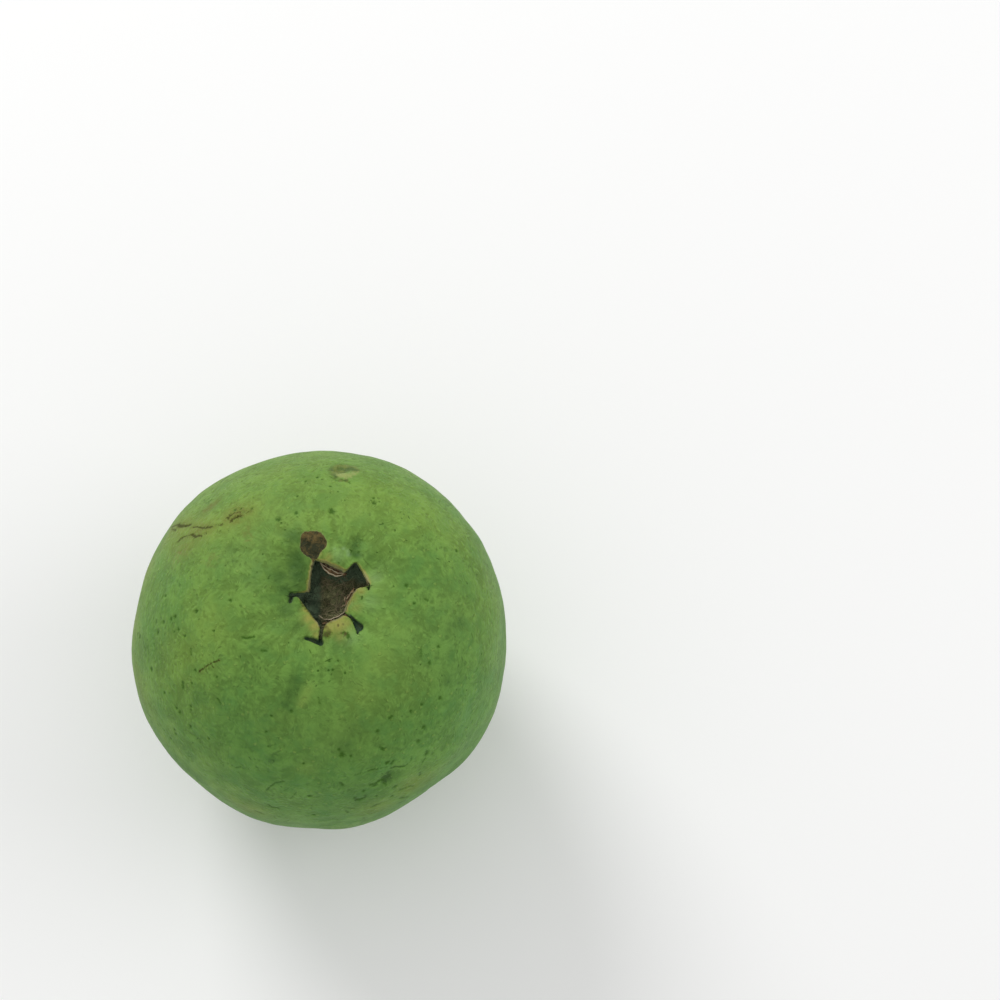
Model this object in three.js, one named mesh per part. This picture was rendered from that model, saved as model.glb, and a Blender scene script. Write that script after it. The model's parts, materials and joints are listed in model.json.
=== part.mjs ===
// A common guava (Psidium guajava), whole and green, standing on its stem end with the calyx up.
// Millimetres, +Z up. The origin is in the middle of the flat that it rests on.
//
// The fruit is one grown piece, so it is one mesh: a round form is turned on the lathe, from the
// stem scar over the skin, round the lip of the calyx and down to the floor of its cup, and every
// vertex is then moved by the same rules: the calyx tears into five lobes, the body gets its lumps
// and the stem end is pressed flat where it stands.

import * as THREE from "three";

// ---- driving dimensions, in millimetres unless a name says degrees ----

const equatorRadius = 35;
const crownRise = 37; // from the equator up to the crown, before the calyx basin sinks it
const baseDrop = 39.5; // from the equator down to the stem end, before the resting flat
const crownFullness = 2.15; // superellipse exponents: 2 is an ellipse, more is squarer
const baseFullness = 1.93;
const flatSink = 1.9; // how much of the stem end the resting flat takes away
const crownLean = 3.8; // the calyx stands this far to +X of the fruit's middle

const basin = { depth: 5.5, width: 8 }; // the hollow that the calyx lies in
const stemDimple = { depth: 3.2, width: 5.2 };
const stemStub = { radius: 1.9, drop: 0.75, round: 0.3 }; // the woody end of the picked stalk

const calyx = {
  mouthRadius: 4, // the mouth as it is turned, before it tears
  lipThickness: 1.1,
  rootThickness: 2, // the lobes where they grow out of the flesh
  cupRadius: 9.3,
  cupDepth: 3.6, // from the middle of the mouth down to the floor
  discRadius: 3.2, // the raised ring that the stamens stood on
  discHeight: 0.4,
  styleRadius: 0.55, // the stump of the style, in the middle of the floor
  styleHeight: 1.1,
  tearReach: 15, // outside this radius the tears no longer move the skin
};

// The five tears between the lobes. Each runs out to its tip, a radius from the middle of the
// calyx, and closes spreadDegrees to either side of its middle. Its flanks are straight at a
// sharpness of 1 and draw in to a slit above that. The widest tear has a blunt end, a plateau that
// reaches further out towards +Y by its slant.
const tears = [
  { atDegrees: 109, tip: 6.5, spreadDegrees: 25, sharpness: 1.1, plateauDegrees: 0, slant: 0 },
  { atDegrees: 30, tip: 7.3, spreadDegrees: 5, sharpness: 0.8, plateauDegrees: 19, slant: 0.1 },
  { atDegrees: -45, tip: 8.4, spreadDegrees: 8, sharpness: 1.5, plateauDegrees: 0, slant: 0 },
  { atDegrees: -97.5, tip: 8.4, spreadDegrees: 10, sharpness: 1.6, plateauDegrees: 0, slant: 0 },
  { atDegrees: 180, tip: 6.6, spreadDegrees: 13, sharpness: 1.4, plateauDegrees: 0, slant: 0 },
];

// How far the free edge of each lobe stands from the middle, at the lobe's own middle.
const lobes = [
  { atDegrees: 75, edge: 4.75, spreadDegrees: 24 },
  { atDegrees: -14, edge: 3.7, spreadDegrees: 24 },
  { atDegrees: -72, edge: 4.8, spreadDegrees: 18 },
  { atDegrees: -140, edge: 4.3, spreadDegrees: 24 },
  { atDegrees: 153, edge: 3.1, spreadDegrees: 16 },
];

const lobePuff = { height: 1, radius: 5.7, width: 2.4 }; // the lobes swell between the tears
const foldBeyondTear = { depth: 0.65, width: 1.5, length: 4.5 }; // each tear runs on as a fold

// Hollows beside the lobes, measured from the middle of the calyx.
const crownDents = [
  { x: -6.5, y: 4.2, depth: 1, width: 3 },
  { x: -6.8, y: -1.5, depth: 0.45, width: 2.2 },
  { x: 9.2, y: 6, depth: 0.7, width: 2.2 },
  { x: 6, y: 9.2, depth: 0.5, width: 2 },
  { x: -8.5, y: 7.6, depth: 0.3, width: 2.4 },
];
const dentFade = 3; // the hollows run out over this much at the end of the tears' reach

// Lumps and dents of the body: where they lie, how high they stand (minus is a dent), how wide.
const lumps = [
  { aroundDegrees: 130, upDegrees: 14, height: 0.45, widthDegrees: 17 },
  { aroundDegrees: 170, upDegrees: 8, height: -0.5, widthDegrees: 11 },
  { aroundDegrees: 201, upDegrees: -2, height: 0.2, widthDegrees: 12 },
  { aroundDegrees: 228, upDegrees: -8, height: -0.5, widthDegrees: 9 },
  { aroundDegrees: 260, upDegrees: -12, height: 0.3, widthDegrees: 11 },
  { aroundDegrees: 281, upDegrees: -12, height: 0.3, widthDegrees: 11 },
  { aroundDegrees: 305, upDegrees: -9, height: -0.6, widthDegrees: 11 },
  { aroundDegrees: 331, upDegrees: -3, height: 0.5, widthDegrees: 15 },
  { aroundDegrees: 34, upDegrees: 12, height: -0.35, widthDegrees: 16 },
  { aroundDegrees: 112, upDegrees: 18, height: -0.25, widthDegrees: 9 },
  { aroundDegrees: 62, upDegrees: 66, height: -0.7, widthDegrees: 9 },
  { aroundDegrees: 138, upDegrees: 66, height: -0.8, widthDegrees: 10 },
  { aroundDegrees: 254, upDegrees: 47, height: -0.45, widthDegrees: 7 },
  { aroundDegrees: 300, upDegrees: 32, height: 0.5, widthDegrees: 22 },
  { aroundDegrees: 20, upDegrees: 40, height: 0.4, widthDegrees: 20 },
  { aroundDegrees: 190, upDegrees: 45, height: 0.4, widthDegrees: 20 },
  { aroundDegrees: 95, upDegrees: -35, height: 0.6, widthDegrees: 24 },
  { aroundDegrees: 215, upDegrees: -45, height: 0.5, widthDegrees: 20 },
  { aroundDegrees: 330, upDegrees: -48, height: -0.5, widthDegrees: 18 },
  { aroundDegrees: 20, upDegrees: -22, height: -0.5, widthDegrees: 14 },
  { aroundDegrees: 150, upDegrees: -30, height: -0.5, widthDegrees: 12 },
];

// A round corky scar beside the calyx, in line with the first tear.
const scar = { x: -2.75, y: 9.05, radius: 2.35, depth: 0.4 };

const columns = 96; // how many times the turned form is divided round the axis
const sideRows = 20;

// ---- the turned form ----

const equatorHeight = baseDrop - flatSink;
const degree = Math.PI / 180;

const clamp = (value, low, high) => Math.min(high, Math.max(low, value));

function smoothStep(from, to, value) {
  const share = clamp((value - from) / (to - from), 0, 1);
  return share * share * (3 - 2 * share);
}

// 1 in the middle, falling to nothing a little over one width away.
const hill = (distance, width) => Math.exp(-((distance / width) ** 2));

function archHeight(radius, rise, fullness) {
  const share = clamp(radius / equatorRadius, 0, 1);
  return rise * (1 - share ** fullness) ** (1 / fullness);
}

// Height of the skin over a circle of this radius, on the crown and under the stem end.
const crownHeight = (radius) =>
  equatorHeight +
  archHeight(radius, crownRise, crownFullness) -
  basin.depth * hill(radius, basin.width);
const baseHeight = (radius) =>
  equatorHeight -
  archHeight(radius, baseDrop, baseFullness) +
  stemDimple.depth * hill(radius, stemDimple.width);

const floorHeight = crownHeight(0) - calyx.cupDepth;

// The thickness of the lobes grows from the lip to their roots.
function lobeThickness(radius) {
  const share = clamp((radius - calyx.mouthRadius) / (calyx.cupRadius - calyx.mouthRadius), 0, 1);
  return calyx.lipThickness + (calyx.rootThickness - calyx.lipThickness) * share;
}

function turnedProfile() {
  const points = [];
  const add = (radius, height) => points.push(new THREE.Vector2(radius, height));

  const stubTop = baseHeight(0) - stemStub.drop;
  add(0, stubTop);
  add(stemStub.radius - stemStub.round, stubTop);
  add(stemStub.radius, stubTop + stemStub.round);
  add(stemStub.radius + stemStub.round, baseHeight(stemStub.radius + stemStub.round));
  for (const radius of [3.1, 4.2, 5.6, 7.2, 8.8]) add(radius, baseHeight(radius));

  const lowest = 16; // degrees from the stem's axis where the side rows begin
  const highest = 154; // and where they end, below the crown rows
  for (let row = 0; row < sideRows; row++) {
    const turn = (lowest + ((highest - lowest) * row) / (sideRows - 1)) * degree;
    const upper = turn > Math.PI / 2;
    const rise = upper ? crownRise : baseDrop;
    const fullness = upper ? crownFullness : baseFullness;
    const reach =
      ((Math.sin(turn) / equatorRadius) ** fullness + (Math.abs(Math.cos(turn)) / rise) ** fullness) **
      (-1 / fullness);
    const radius = reach * Math.sin(turn);
    add(radius, upper ? crownHeight(radius) : baseHeight(radius));
  }

  for (const radius of [13, 11.6, 10.3, 9.1, 8, 7, 6.1, 5.3, 4.7]) add(radius, crownHeight(radius));

  const { mouthRadius, lipThickness, cupRadius, discRadius, discHeight } = calyx;
  for (const lean of [-0.75, 0, 0.75]) {
    const radius = mouthRadius + (lipThickness / 2) * (1 - Math.cos(lean));
    add(radius, crownHeight(mouthRadius) - (lipThickness / 2) * (1 + Math.sin(lean)));
  }
  for (const radius of [4.7, 6.6, 8.5]) add(radius, crownHeight(radius) - lobeThickness(radius));
  add(cupRadius, (crownHeight(cupRadius) - calyx.rootThickness + floorHeight) / 2);
  add(cupRadius - 0.7, floorHeight + 0.05);
  add(discRadius + 1.2, floorHeight);
  add(discRadius, floorHeight + discHeight);
  add(discRadius - 0.9, floorHeight + 0.1);
  add(calyx.styleRadius * 1.6, floorHeight + 0.15);
  add(calyx.styleRadius, floorHeight + calyx.styleHeight);
  add(0, floorHeight + calyx.styleHeight);
  return points;
}

// ---- the rules that turn the round form into a guava ----

// The turn from one angle to another, between minus and plus half a circle.
const turnBetween = (from, to) => Math.atan2(Math.sin(to - from), Math.cos(to - from));

// How far out the torn edge of the calyx lies, in this direction.
function tornEdge(angle) {
  let edge = calyx.mouthRadius;
  for (const lobe of lobes) {
    const away = turnBetween(lobe.atDegrees * degree, angle);
    edge += (lobe.edge - calyx.mouthRadius) * hill(away, lobe.spreadDegrees * degree);
  }
  let open = 0;
  for (const tear of tears) {
    const turn = turnBetween(tear.atDegrees * degree, angle) / degree;
    const away = Math.abs(turn) - tear.plateauDegrees;
    const share = clamp(1 - away / tear.spreadDegrees, 0, 1) ** tear.sharpness;
    const tip = tear.tip + (tear.slant * turn) / Math.max(tear.plateauDegrees, 1);
    open = Math.max(open, (tip - edge) * share);
  }
  return edge + open;
}

// The lobes' swelling, the folds that the tears run on in and the hollows beside the lobes.
function lobeRelief(radius, angle) {
  let relief = lobePuff.height * hill(radius - lobePuff.radius, lobePuff.width);
  for (const tear of tears) {
    const sideways = radius * turnBetween(tear.atDegrees * degree, angle);
    const beyond = smoothStep(tear.tip + foldBeyondTear.length, tear.tip - 1, radius);
    relief -= foldBeyondTear.depth * beyond * hill(sideways, foldBeyondTear.width);
  }
  const fade = smoothStep(calyx.tearReach, calyx.tearReach - dentFade, radius);
  for (const dent of crownDents) {
    const away = Math.hypot(radius * Math.cos(angle) - dent.x, radius * Math.sin(angle) - dent.y);
    relief -= dent.depth * fade * hill(away, dent.width);
  }
  return relief;
}

function tearCalyx(point) {
  const radius = Math.hypot(point.x, point.y);
  if (radius < 1e-6 || radius > calyx.tearReach || point.z < equatorHeight) return;
  const onLobes = smoothStep(floorHeight + 0.5, floorHeight + 1.8, point.z);
  const angle = Math.atan2(point.y, point.x);
  const inward = 1 - clamp((radius - calyx.mouthRadius) / (calyx.tearReach - calyx.mouthRadius), 0, 1);
  const pull = (tornEdge(angle) - calyx.mouthRadius) * inward ** 2;
  const torn = radius + pull * onLobes * smoothStep(0.6, 2.5, radius);
  point.x *= torn / radius;
  point.y *= torn / radius;
  point.z += onLobes * (crownHeight(torn) - crownHeight(radius) + lobeRelief(torn, angle));
}

function direction(aroundDegrees, upDegrees) {
  const around = aroundDegrees * degree;
  const up = upDegrees * degree;
  return new THREE.Vector3(Math.cos(around) * Math.cos(up), Math.sin(around) * Math.cos(up), Math.sin(up));
}

const middle = new THREE.Vector3(0, 0, equatorHeight);
const lumpPlaces = lumps.map((lump) => ({ ...lump, toward: direction(lump.aroundDegrees, lump.upDegrees) }));

function pushLumps(point) {
  const outward = point.clone().sub(middle);
  const reach = outward.length();
  outward.divideScalar(reach);
  let push = 0;
  for (const { toward, height, widthDegrees } of lumpPlaces) {
    push += height * hill(outward.angleTo(toward), widthDegrees * degree);
  }
  point.addScaledVector(outward, push);
}

function pressScar(point) {
  if (point.z < floorHeight + calyx.cupDepth / 2) return;
  const away = Math.hypot(point.x - scar.x, point.y - scar.y);
  point.z -= scar.depth * smoothStep(scar.radius + 0.4, scar.radius - 0.5, away);
}

function leanCrown(point) {
  point.x += crownLean * smoothStep(equatorHeight, equatorHeight + crownRise, point.z);
}

// ---- the mesh ----

function guavaGeometry() {
  const geometry = new THREE.LatheGeometry(turnedProfile(), columns);
  const position = geometry.getAttribute("position");
  const point = new THREE.Vector3();
  for (let i = 0; i < position.count; i++) {
    // The lathe turns about +Y, so its height becomes Z.
    point.set(position.getX(i), -position.getZ(i), position.getY(i));
    tearCalyx(point);
    pushLumps(point);
    pressScar(point);
    leanCrown(point);
    point.z = Math.max(point.z, 0); // the resting flat
    position.setXYZ(i, point.x, point.y, point.z);
  }
  geometry.computeVertexNormals();
  return geometry;
}

const skin = new THREE.MeshStandardMaterial({ color: 0x6c9443, roughness: 0.55, metalness: 0 });

const guava = new THREE.Mesh(guavaGeometry(), skin);
guava.name = "guava";

const part = new THREE.Group();
part.add(guava);

export default part;
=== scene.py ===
import json
import math
import random

import bpy
import numpy as np
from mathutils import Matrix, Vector, noise

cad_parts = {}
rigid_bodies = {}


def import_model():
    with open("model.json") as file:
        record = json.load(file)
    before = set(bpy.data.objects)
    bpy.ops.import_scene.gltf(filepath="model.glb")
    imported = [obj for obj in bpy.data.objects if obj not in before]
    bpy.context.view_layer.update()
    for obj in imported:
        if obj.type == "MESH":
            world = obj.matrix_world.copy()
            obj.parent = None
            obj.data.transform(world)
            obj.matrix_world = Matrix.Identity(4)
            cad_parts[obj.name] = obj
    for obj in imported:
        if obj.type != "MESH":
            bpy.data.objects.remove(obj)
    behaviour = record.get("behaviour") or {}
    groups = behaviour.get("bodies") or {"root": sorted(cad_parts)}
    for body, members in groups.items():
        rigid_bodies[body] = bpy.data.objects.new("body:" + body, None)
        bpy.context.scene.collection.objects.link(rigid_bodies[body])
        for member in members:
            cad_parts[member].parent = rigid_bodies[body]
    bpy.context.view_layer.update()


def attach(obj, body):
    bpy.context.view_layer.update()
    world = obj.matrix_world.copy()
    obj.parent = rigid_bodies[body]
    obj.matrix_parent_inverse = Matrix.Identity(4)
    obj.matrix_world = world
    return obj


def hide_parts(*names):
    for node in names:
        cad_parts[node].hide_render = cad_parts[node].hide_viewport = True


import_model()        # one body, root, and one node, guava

mm = 0.001

# The form of the fruit, in millimetres. These are the named values of the solid, so the skin
# lies where the solid does; the finer relief comes after them.

body = {
    "equatorRadius": 35.0,
    "crownRise": 37.0,
    "baseDrop": 39.5,
    "crownFullness": 2.15,
    "baseFullness": 1.93,
    "flatSink": 1.9,
    "crownLean": 3.8,
    "basinDepth": 5.5,
    "basinWidth": 8.0,
    "dimpleDepth": 3.2,
    "dimpleWidth": 5.2,
    "stubRadius": 1.9,
    "stubDrop": 0.75,
    "stubRound": 0.3,
}
equatorHeight = body["baseDrop"] - body["flatSink"]

calyx = {
    "mouthRadius": 4.0,
    "lipThickness": 1.1,
    "rootThickness": 2.0,
    "cupRadius": 9.3,
    "cupDepth": 3.6,
    "discRadius": 3.2,
    "discHeight": 0.4,
    "styleRadius": 0.55,
    "styleHeight": 1.1,
    "tearReach": 15.0,
    "puffHeight": 1.0,
    "puffRadius": 5.7,
    "puffWidth": 2.4,
    "foldDepth": 0.65,
    "foldWidth": 1.5,
    "foldLength": 4.5,
    # degrees, tip radius
    "tears": [(109, 6.5), (30, 7.3), (-45, 8.4), (-97.5, 8.4), (180, 6.6)],
}

# The torn edge of the lobes, as degrees round the middle of the calyx and radius.
tornOutline = [
    (-180, 6.3), (-178.5, 6.5), (-177, 5.0), (-167.5, 4.5), (-152, 4.3), (-137.5, 4.35),
    (-121, 4.7), (-108.5, 5.15), (-101.5, 5.95), (-99, 7.0), (-96.5, 8.2), (-94.5, 7.2),
    (-92.5, 6.1), (-89, 5.35), (-82.5, 4.95), (-72, 4.85), (-60.5, 4.7), (-53, 4.6), (-48.5, 5.6),
    (-46.5, 7.2), (-44.5, 6.2), (-43, 5.1), (-41.5, 4.3), (-31.5, 3.85), (-18.5, 3.8),
    (-7.5, 4.05), (1.5, 4.4), (7, 4.95), (9, 5.8), (10, 6.9), (12, 7.3), (19, 7.15), (28, 7.2),
    (38, 7.3), (44, 7.4), (48.5, 7.4), (50, 7.1), (51, 6.5), (52, 5.7), (53.5, 5.15), (57, 4.95),
    (66, 5.0), (76, 5.05), (84.5, 5.25), (93, 5.6), (101.5, 6.0), (106, 6.4), (109.5, 6.6),
    (113, 6.3), (117, 5.8), (126, 4.75), (139, 3.8), (153, 3.25), (164, 3.2), (171, 4.35),
    (176, 5.7),
]

# Where a tear opens into a small hole at its end: two ends and their radii.
tearHoles = [
    ((4.35, -4.35, 0.2), (5.65, -6.0, 0.8)), ((5.5, -6.4, 0.4), (5.4, -7.1, 0.2)),
    ((-3.6, -8.05, 0.25), (-2.2, -8.35, 0.42)), ((-2.2, -8.35, 0.42), (-0.85, -8.9, 0.4)),
    ((-1.05, -7.9, 0.25), (-0.9, -8.7, 0.4)), ((-5.0, 0.3, 0.3), (-6.2, 0.0, 0.42)),
    ((-6.25, 0.0, 0.4), (-6.45, -1.35, 0.25)), ((7.1, 1.6, 0.25), (7.25, 0.6, 0.1)),
]
holeDepth = 0.95

# lumps and dents: degrees round, degrees up, height, width in degrees
lumps = [
    (130, 14, 0.45, 17), (170, 8, -0.5, 11), (201, -2, 0.2, 12), (228, -8, -0.5, 9),
    (260, -12, 0.3, 11), (281, -12, 0.3, 11), (305, -9, -0.6, 11), (331, -3, 0.5, 15),
    (34, 12, -0.35, 16), (112, 18, -0.25, 9), (62, 66, -0.7, 9), (138, 66, -0.8, 10),
    (254, 47, -0.45, 7), (300, 32, 0.5, 22), (20, 40, 0.4, 20), (190, 45, 0.4, 20),
    (95, -35, 0.6, 24), (215, -45, 0.5, 20), (330, -48, -0.5, 18), (20, -22, -0.5, 14),
    (150, -30, -0.5, 12),
]

# hollows beside the lobes: x and y in millimetres from the middle of the calyx, depth and width
crownDents = [
    (-6.5, 4.2, 1.0, 3.0), (-6.8, -1.5, 0.45, 2.2), (9.2, 6.0, 0.7, 2.2), (6.0, 9.2, 0.5, 2.0),
    (-8.5, 7.6, 0.3, 2.4),
]
dentFade = 3.0

# dents and ridges further out: degrees round and up, height, width in millimetres
skinDents = [
    (-97, 63.5, -0.35, 1.3), (-97.8, 59.5, -0.35, 1.2), (-88, 64, 0.22, 0.9),
    (-91.5, 60.4, 0.22, 0.9), (-66, 28.4, -0.35, 1.5), (-62.5, 30.3, -0.3, 1.2),
    (-74.5, 21.3, -0.3, 1.0), (-75.5, 45, -0.3, 2.2), (-69, 50, -0.2, 2.0), (79, 46.5, -0.4, 1.4),
    (74.5, 49.8, 0.14, 1.2), (-45, 20, 0.35, 4.0), (-58, 20, -0.3, 2.5), (-33, 25, -0.3, 3.5),
    (-67, 20, 0.2, 2.0), (-150, 30, 0.25, 4.0), (-170, 36, -0.25, 4.0), (160, 52, 0.25, 5.0),
    (-120, 45, -0.25, 4.5), (-20, 8, 0.35, 4.5), (55, -12, -0.4, 4.0), (110, 4, 0.35, 4.0),
    (-95, -8, -0.35, 4.5), (-150, -18, 0.35, 5.0), (15, 25, -0.3, 4.5), (147, 63, -0.2, 1.6),
]

scar = {
    "x": -2.75,
    "y": 9.05,
    "radius": 2.35,
    "depth": 0.4,
    "neck": (-2.4, 6.2),
    "neckRadius": 0.5,
}

# Marks on the skin, as degrees round the axis and degrees up, seen from the middle of the fruit:
# lines with their width in millimetres and strength, then dots with their width.
cracks = [
    ([(145.7, 21.4), (145.2, 25.4), (144.9, 28.6)], 0.16, 0.85),
    ([(144.9, 28.6), (145.3, 31.5), (145.1, 34.0)], 0.3, 1),
    ([(145.1, 34.0), (144.6, 36.1), (143.7, 37.8)], 0.22, 1),
    ([(146.6, 24.5), (147.3, 30.3)], 0.24, 0.6),
    ([(144.3, 40.6), (143.5, 43.9), (143.3, 46.2)], 0.15, 0.8),
    ([(143.3, 46.2), (142.6, 48.2), (141.8, 48.7), (141.3, 50.1)], 0.22, 0.8),
    ([(139.8, 51.3), (138.8, 52.4), (137.7, 53.5)], 0.26, 0.55),
    ([(151.5, 37.0), (150.2, 37.8), (149.2, 38.9)], 0.24, 0.75),
    ([(149.2, 38.9), (148.6, 40.4), (148.1, 42.0)], 0.14, 0.7),
    ([(147.4, 42.8), (148.0, 45.1), (148.1, 46.2)], 0.24, 0.9),
    ([(148.1, 46.2), (147.2, 47.1), (147.1, 48.7)], 0.16, 0.75),
    ([(145.4, 49.2), (144.5, 50.3)], 0.24, 0.6), ([(133.5, 55.4), (132.5, 55.2)], 0.28, 0.9),
    ([(131.9, 55.3), (131.3, 55.5), (129.8, 55.8), (128.1, 56.4)], 0.24, 0.95),
    ([(133.8, 53.7), (132.4, 53.3), (131.4, 53.3), (131.4, 52.3)], 0.22, 0.7),
    ([(131.4, 53.0), (129.9, 53.3), (128.1, 54.2), (127.0, 55.0)], 0.18, 0.6),
    ([(126.5, 55.1), (125.3, 56.6), (123.3, 57.3)], 0.28, 0.4),
    ([(133.6, 52.6), (133.7, 53.8)], 0.2, 0.7), ([(-147, 50.5), (-146.6, 52.4)], 0.16, 0.9),
    ([(-146.4, 53.4), (-146, 54.7), (-144.9, 56.9), (-143.9, 58.3)], 0.14, 0.8),
    ([(-145.5, 55.4), (-143.6, 55.5)], 0.16, 0.6),
    ([(80.2, 47.3), (78.6, 48.2), (76.2, 48.0)], 0.3, 0.6),
    ([(35, -10), (38, -7.5), (41, -6.5), (44, -7)], 0.18, 0.7),
    ([(46, -6.4), (52, -3)], 0.14, 0.6), ([(100, -20), (101.5, -16), (104, -14)], 0.18, 0.7),
    ([(104.6, -12), (106, -6)], 0.14, 0.6),
    ([(-20, -28), (-17, -29.5), (-14, -30), (-9, -27)], 0.18, 0.8),
    ([(-160, -22), (-157, -24), (-154, -24), (-150, -25)], 0.18, 0.7),
    ([(62, 18), (64.5, 20.5), (66, 22), (72, 23)], 0.15, 0.7),
]

# olive, worn strokes beside the cracks
wornStrokes = [
    ([(136, 39.7), (132.8, 40.7), (131.3, 40.9)], 0.75, 1),
    ([(146.6, 22), (145.2, 30), (143.7, 38)], 0.6, 0.5),
    ([(144.3, 40.6), (143.3, 46.2), (141.3, 50.1)], 0.6, 0.5),
    ([(151, 38), (148.6, 42), (147.2, 48)], 0.7, 0.45),
    ([(128.9, 62.0), (132.6, 62.9)], 0.6, 0.55),
    ([(133.6, 53), (131.4, 54.2), (128.5, 55.5)], 0.8, 0.5),
    ([(125, 56.2), (122.4, 57.6)], 0.6, 0.3), ([(153, 47), (154, 42), (155, 36)], 1.2, 0.3),
    ([(42, -7), (47, -5)], 0.8, 0.5), ([(102, -15), (105, -10)], 0.7, 0.5),
    ([(-156, -24), (-150, -26)], 0.8, 0.5),
]

streaks = [
    ([(-144.7, 68.4), (-142.4, 68.9), (-140.2, 70.2), (-138.5, 71.1)], 0.2, 0.9),
    ([(-125.6, 69.8), (-122.4, 70.3)], 0.2, 0.8), ([(-132.3, 49.5), (-129.9, 48.9)], 0.18, 0.9),
    ([(-103.8, 25.6), (-102.7, 28), (-100.8, 30.5), (-98.2, 31.9)], 0.16, 0.8),
    ([(-103.2, 17.1), (-102.1, 15.9), (-100.1, 16.1)], 0.22, 1),
    ([(-107.4, 8.7), (-105.7, 8.1)], 0.4, 0.7), ([(-96, 23.9), (-94, 27.5)], 0.13, 0.6),
    ([(-104.9, 43.4), (-102.2, 44.8)], 0.2, 0.5),
    ([(-74.1, 34.6), (-72, 34.8), (-70.3, 34.7)], 0.14, 0.5),
    ([(-69.8, 34.8), (-67.6, 34.7), (-66.6, 34.3)], 0.18, 0.8),
    ([(-65.7, 34.1), (-63.5, 33.5)], 0.14, 0.6), ([(-63.1, 35.2), (-62.3, 35.2)], 0.24, 0.9),
    ([(-61.8, 34), (-60.8, 34.7)], 0.22, 0.9),
    ([(-62.5, 32), (-61.1, 32), (-59.7, 31.1), (-58.2, 30.2)], 0.2, 0.95),
    ([(-58.2, 30.2), (-55.7, 31.1), (-54.9, 32.8)], 0.14, 0.5),
    ([(-70.1, 28.4), (-69.3, 27.5), (-68.6, 27.9)], 0.32, 1),
    ([(-68.6, 27.9), (-67.4, 28.3), (-66.2, 28.2)], 0.26, 0.9),
    ([(-66.2, 26.7), (-65.8, 25.5)], 0.22, 0.8),
    ([(-62.4, 18.6), (-61.4, 18.2), (-60.5, 17.7)], 0.24, 0.9),
    ([(-59.6, 17.6), (-58.3, 15.9)], 0.22, 0.7),
    ([(-76.0, 23.6), (-75.8, 21.7), (-74.8, 20.9), (-73.6, 21.5), (-72.8, 22.6),
      (-72.8, 23.7)], 0.26, 1),
    ([(-71.6, 13.7), (-70.5, 14.6), (-69.9, 14.3)], 0.26, 0.95),
    ([(-68.9, 15.2), (-67.1, 14.4)], 0.16, 0.6), ([(-78.7, 16.8), (-77.2, 15.6)], 0.2, 0.8),
    ([(-79.7, 14.9), (-79.3, 13)], 0.26, 0.8), ([(-63.1, 12.2), (-60.9, 9.5)], 0.3, 0.8),
    ([(-63.5, 6.8), (-62.1, 6.6)], 0.3, 0.8), ([(-50.5, 29.7), (-50.1, 30.2)], 0.35, 1),
    ([(-50.7, 29.3), (-51.6, 28.3), (-52.9, 27.5)], 0.16, 0.6),
    ([(-79.3, 32.3), (-78.7, 31.1)], 0.24, 0.9), ([(-54.7, 22.9), (-55.2, 20.6)], 0.24, 0.7),
    ([(-62.8, 41.8), (-62.4, 40.3), (-61.5, 40.5)], 0.2, 0.6),
    ([(-47.0, 74.2), (-45.9, 73.5)], 0.24, 0.9),
    ([(-44.3, 73.3), (-44.7, 72.6), (-46.7, 72.4)], 0.22, 1),
    ([(-64.5, 76.6), (-62.9, 76), (-59.4, 76.2)], 0.4, 0.9),
    ([(-158.1, 51.2), (-155.6, 50.5)], 0.16, 0.7), ([(-82.3, 60.6), (-81.8, 58.9)], 0.16, 0.6),
    ([(-115.1, 30.8), (-113.4, 32.1)], 0.2, 0.6), ([(-1.9, 57.9), (-2.5, 57.1)], 0.2, 0.7),
    ([(-25, 55.2), (-27.6, 54.3)], 0.25, 0.6),
    ([(81.5, 51.3), (77.8, 52.9), (73.7, 52.1), (71.6, 53.1)], 0.18, 0.6),
    ([(-148.8, 42.6), (-147, 41.3)], 0.28, 0.9), ([(25, 8), (29, 12)], 0.3, 0.9),
    ([(80, -14), (84, -12)], 0.3, 0.9), ([(-10, -8), (-7, -12)], 0.3, 0.8),
    ([(172, -20), (168, -17)], 0.3, 0.8), ([(120, 22), (124, 27)], 0.25, 0.8),
    ([(-75, -12), (-70, -10), (-68, -11)], 0.2, 0.8),
]

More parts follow.
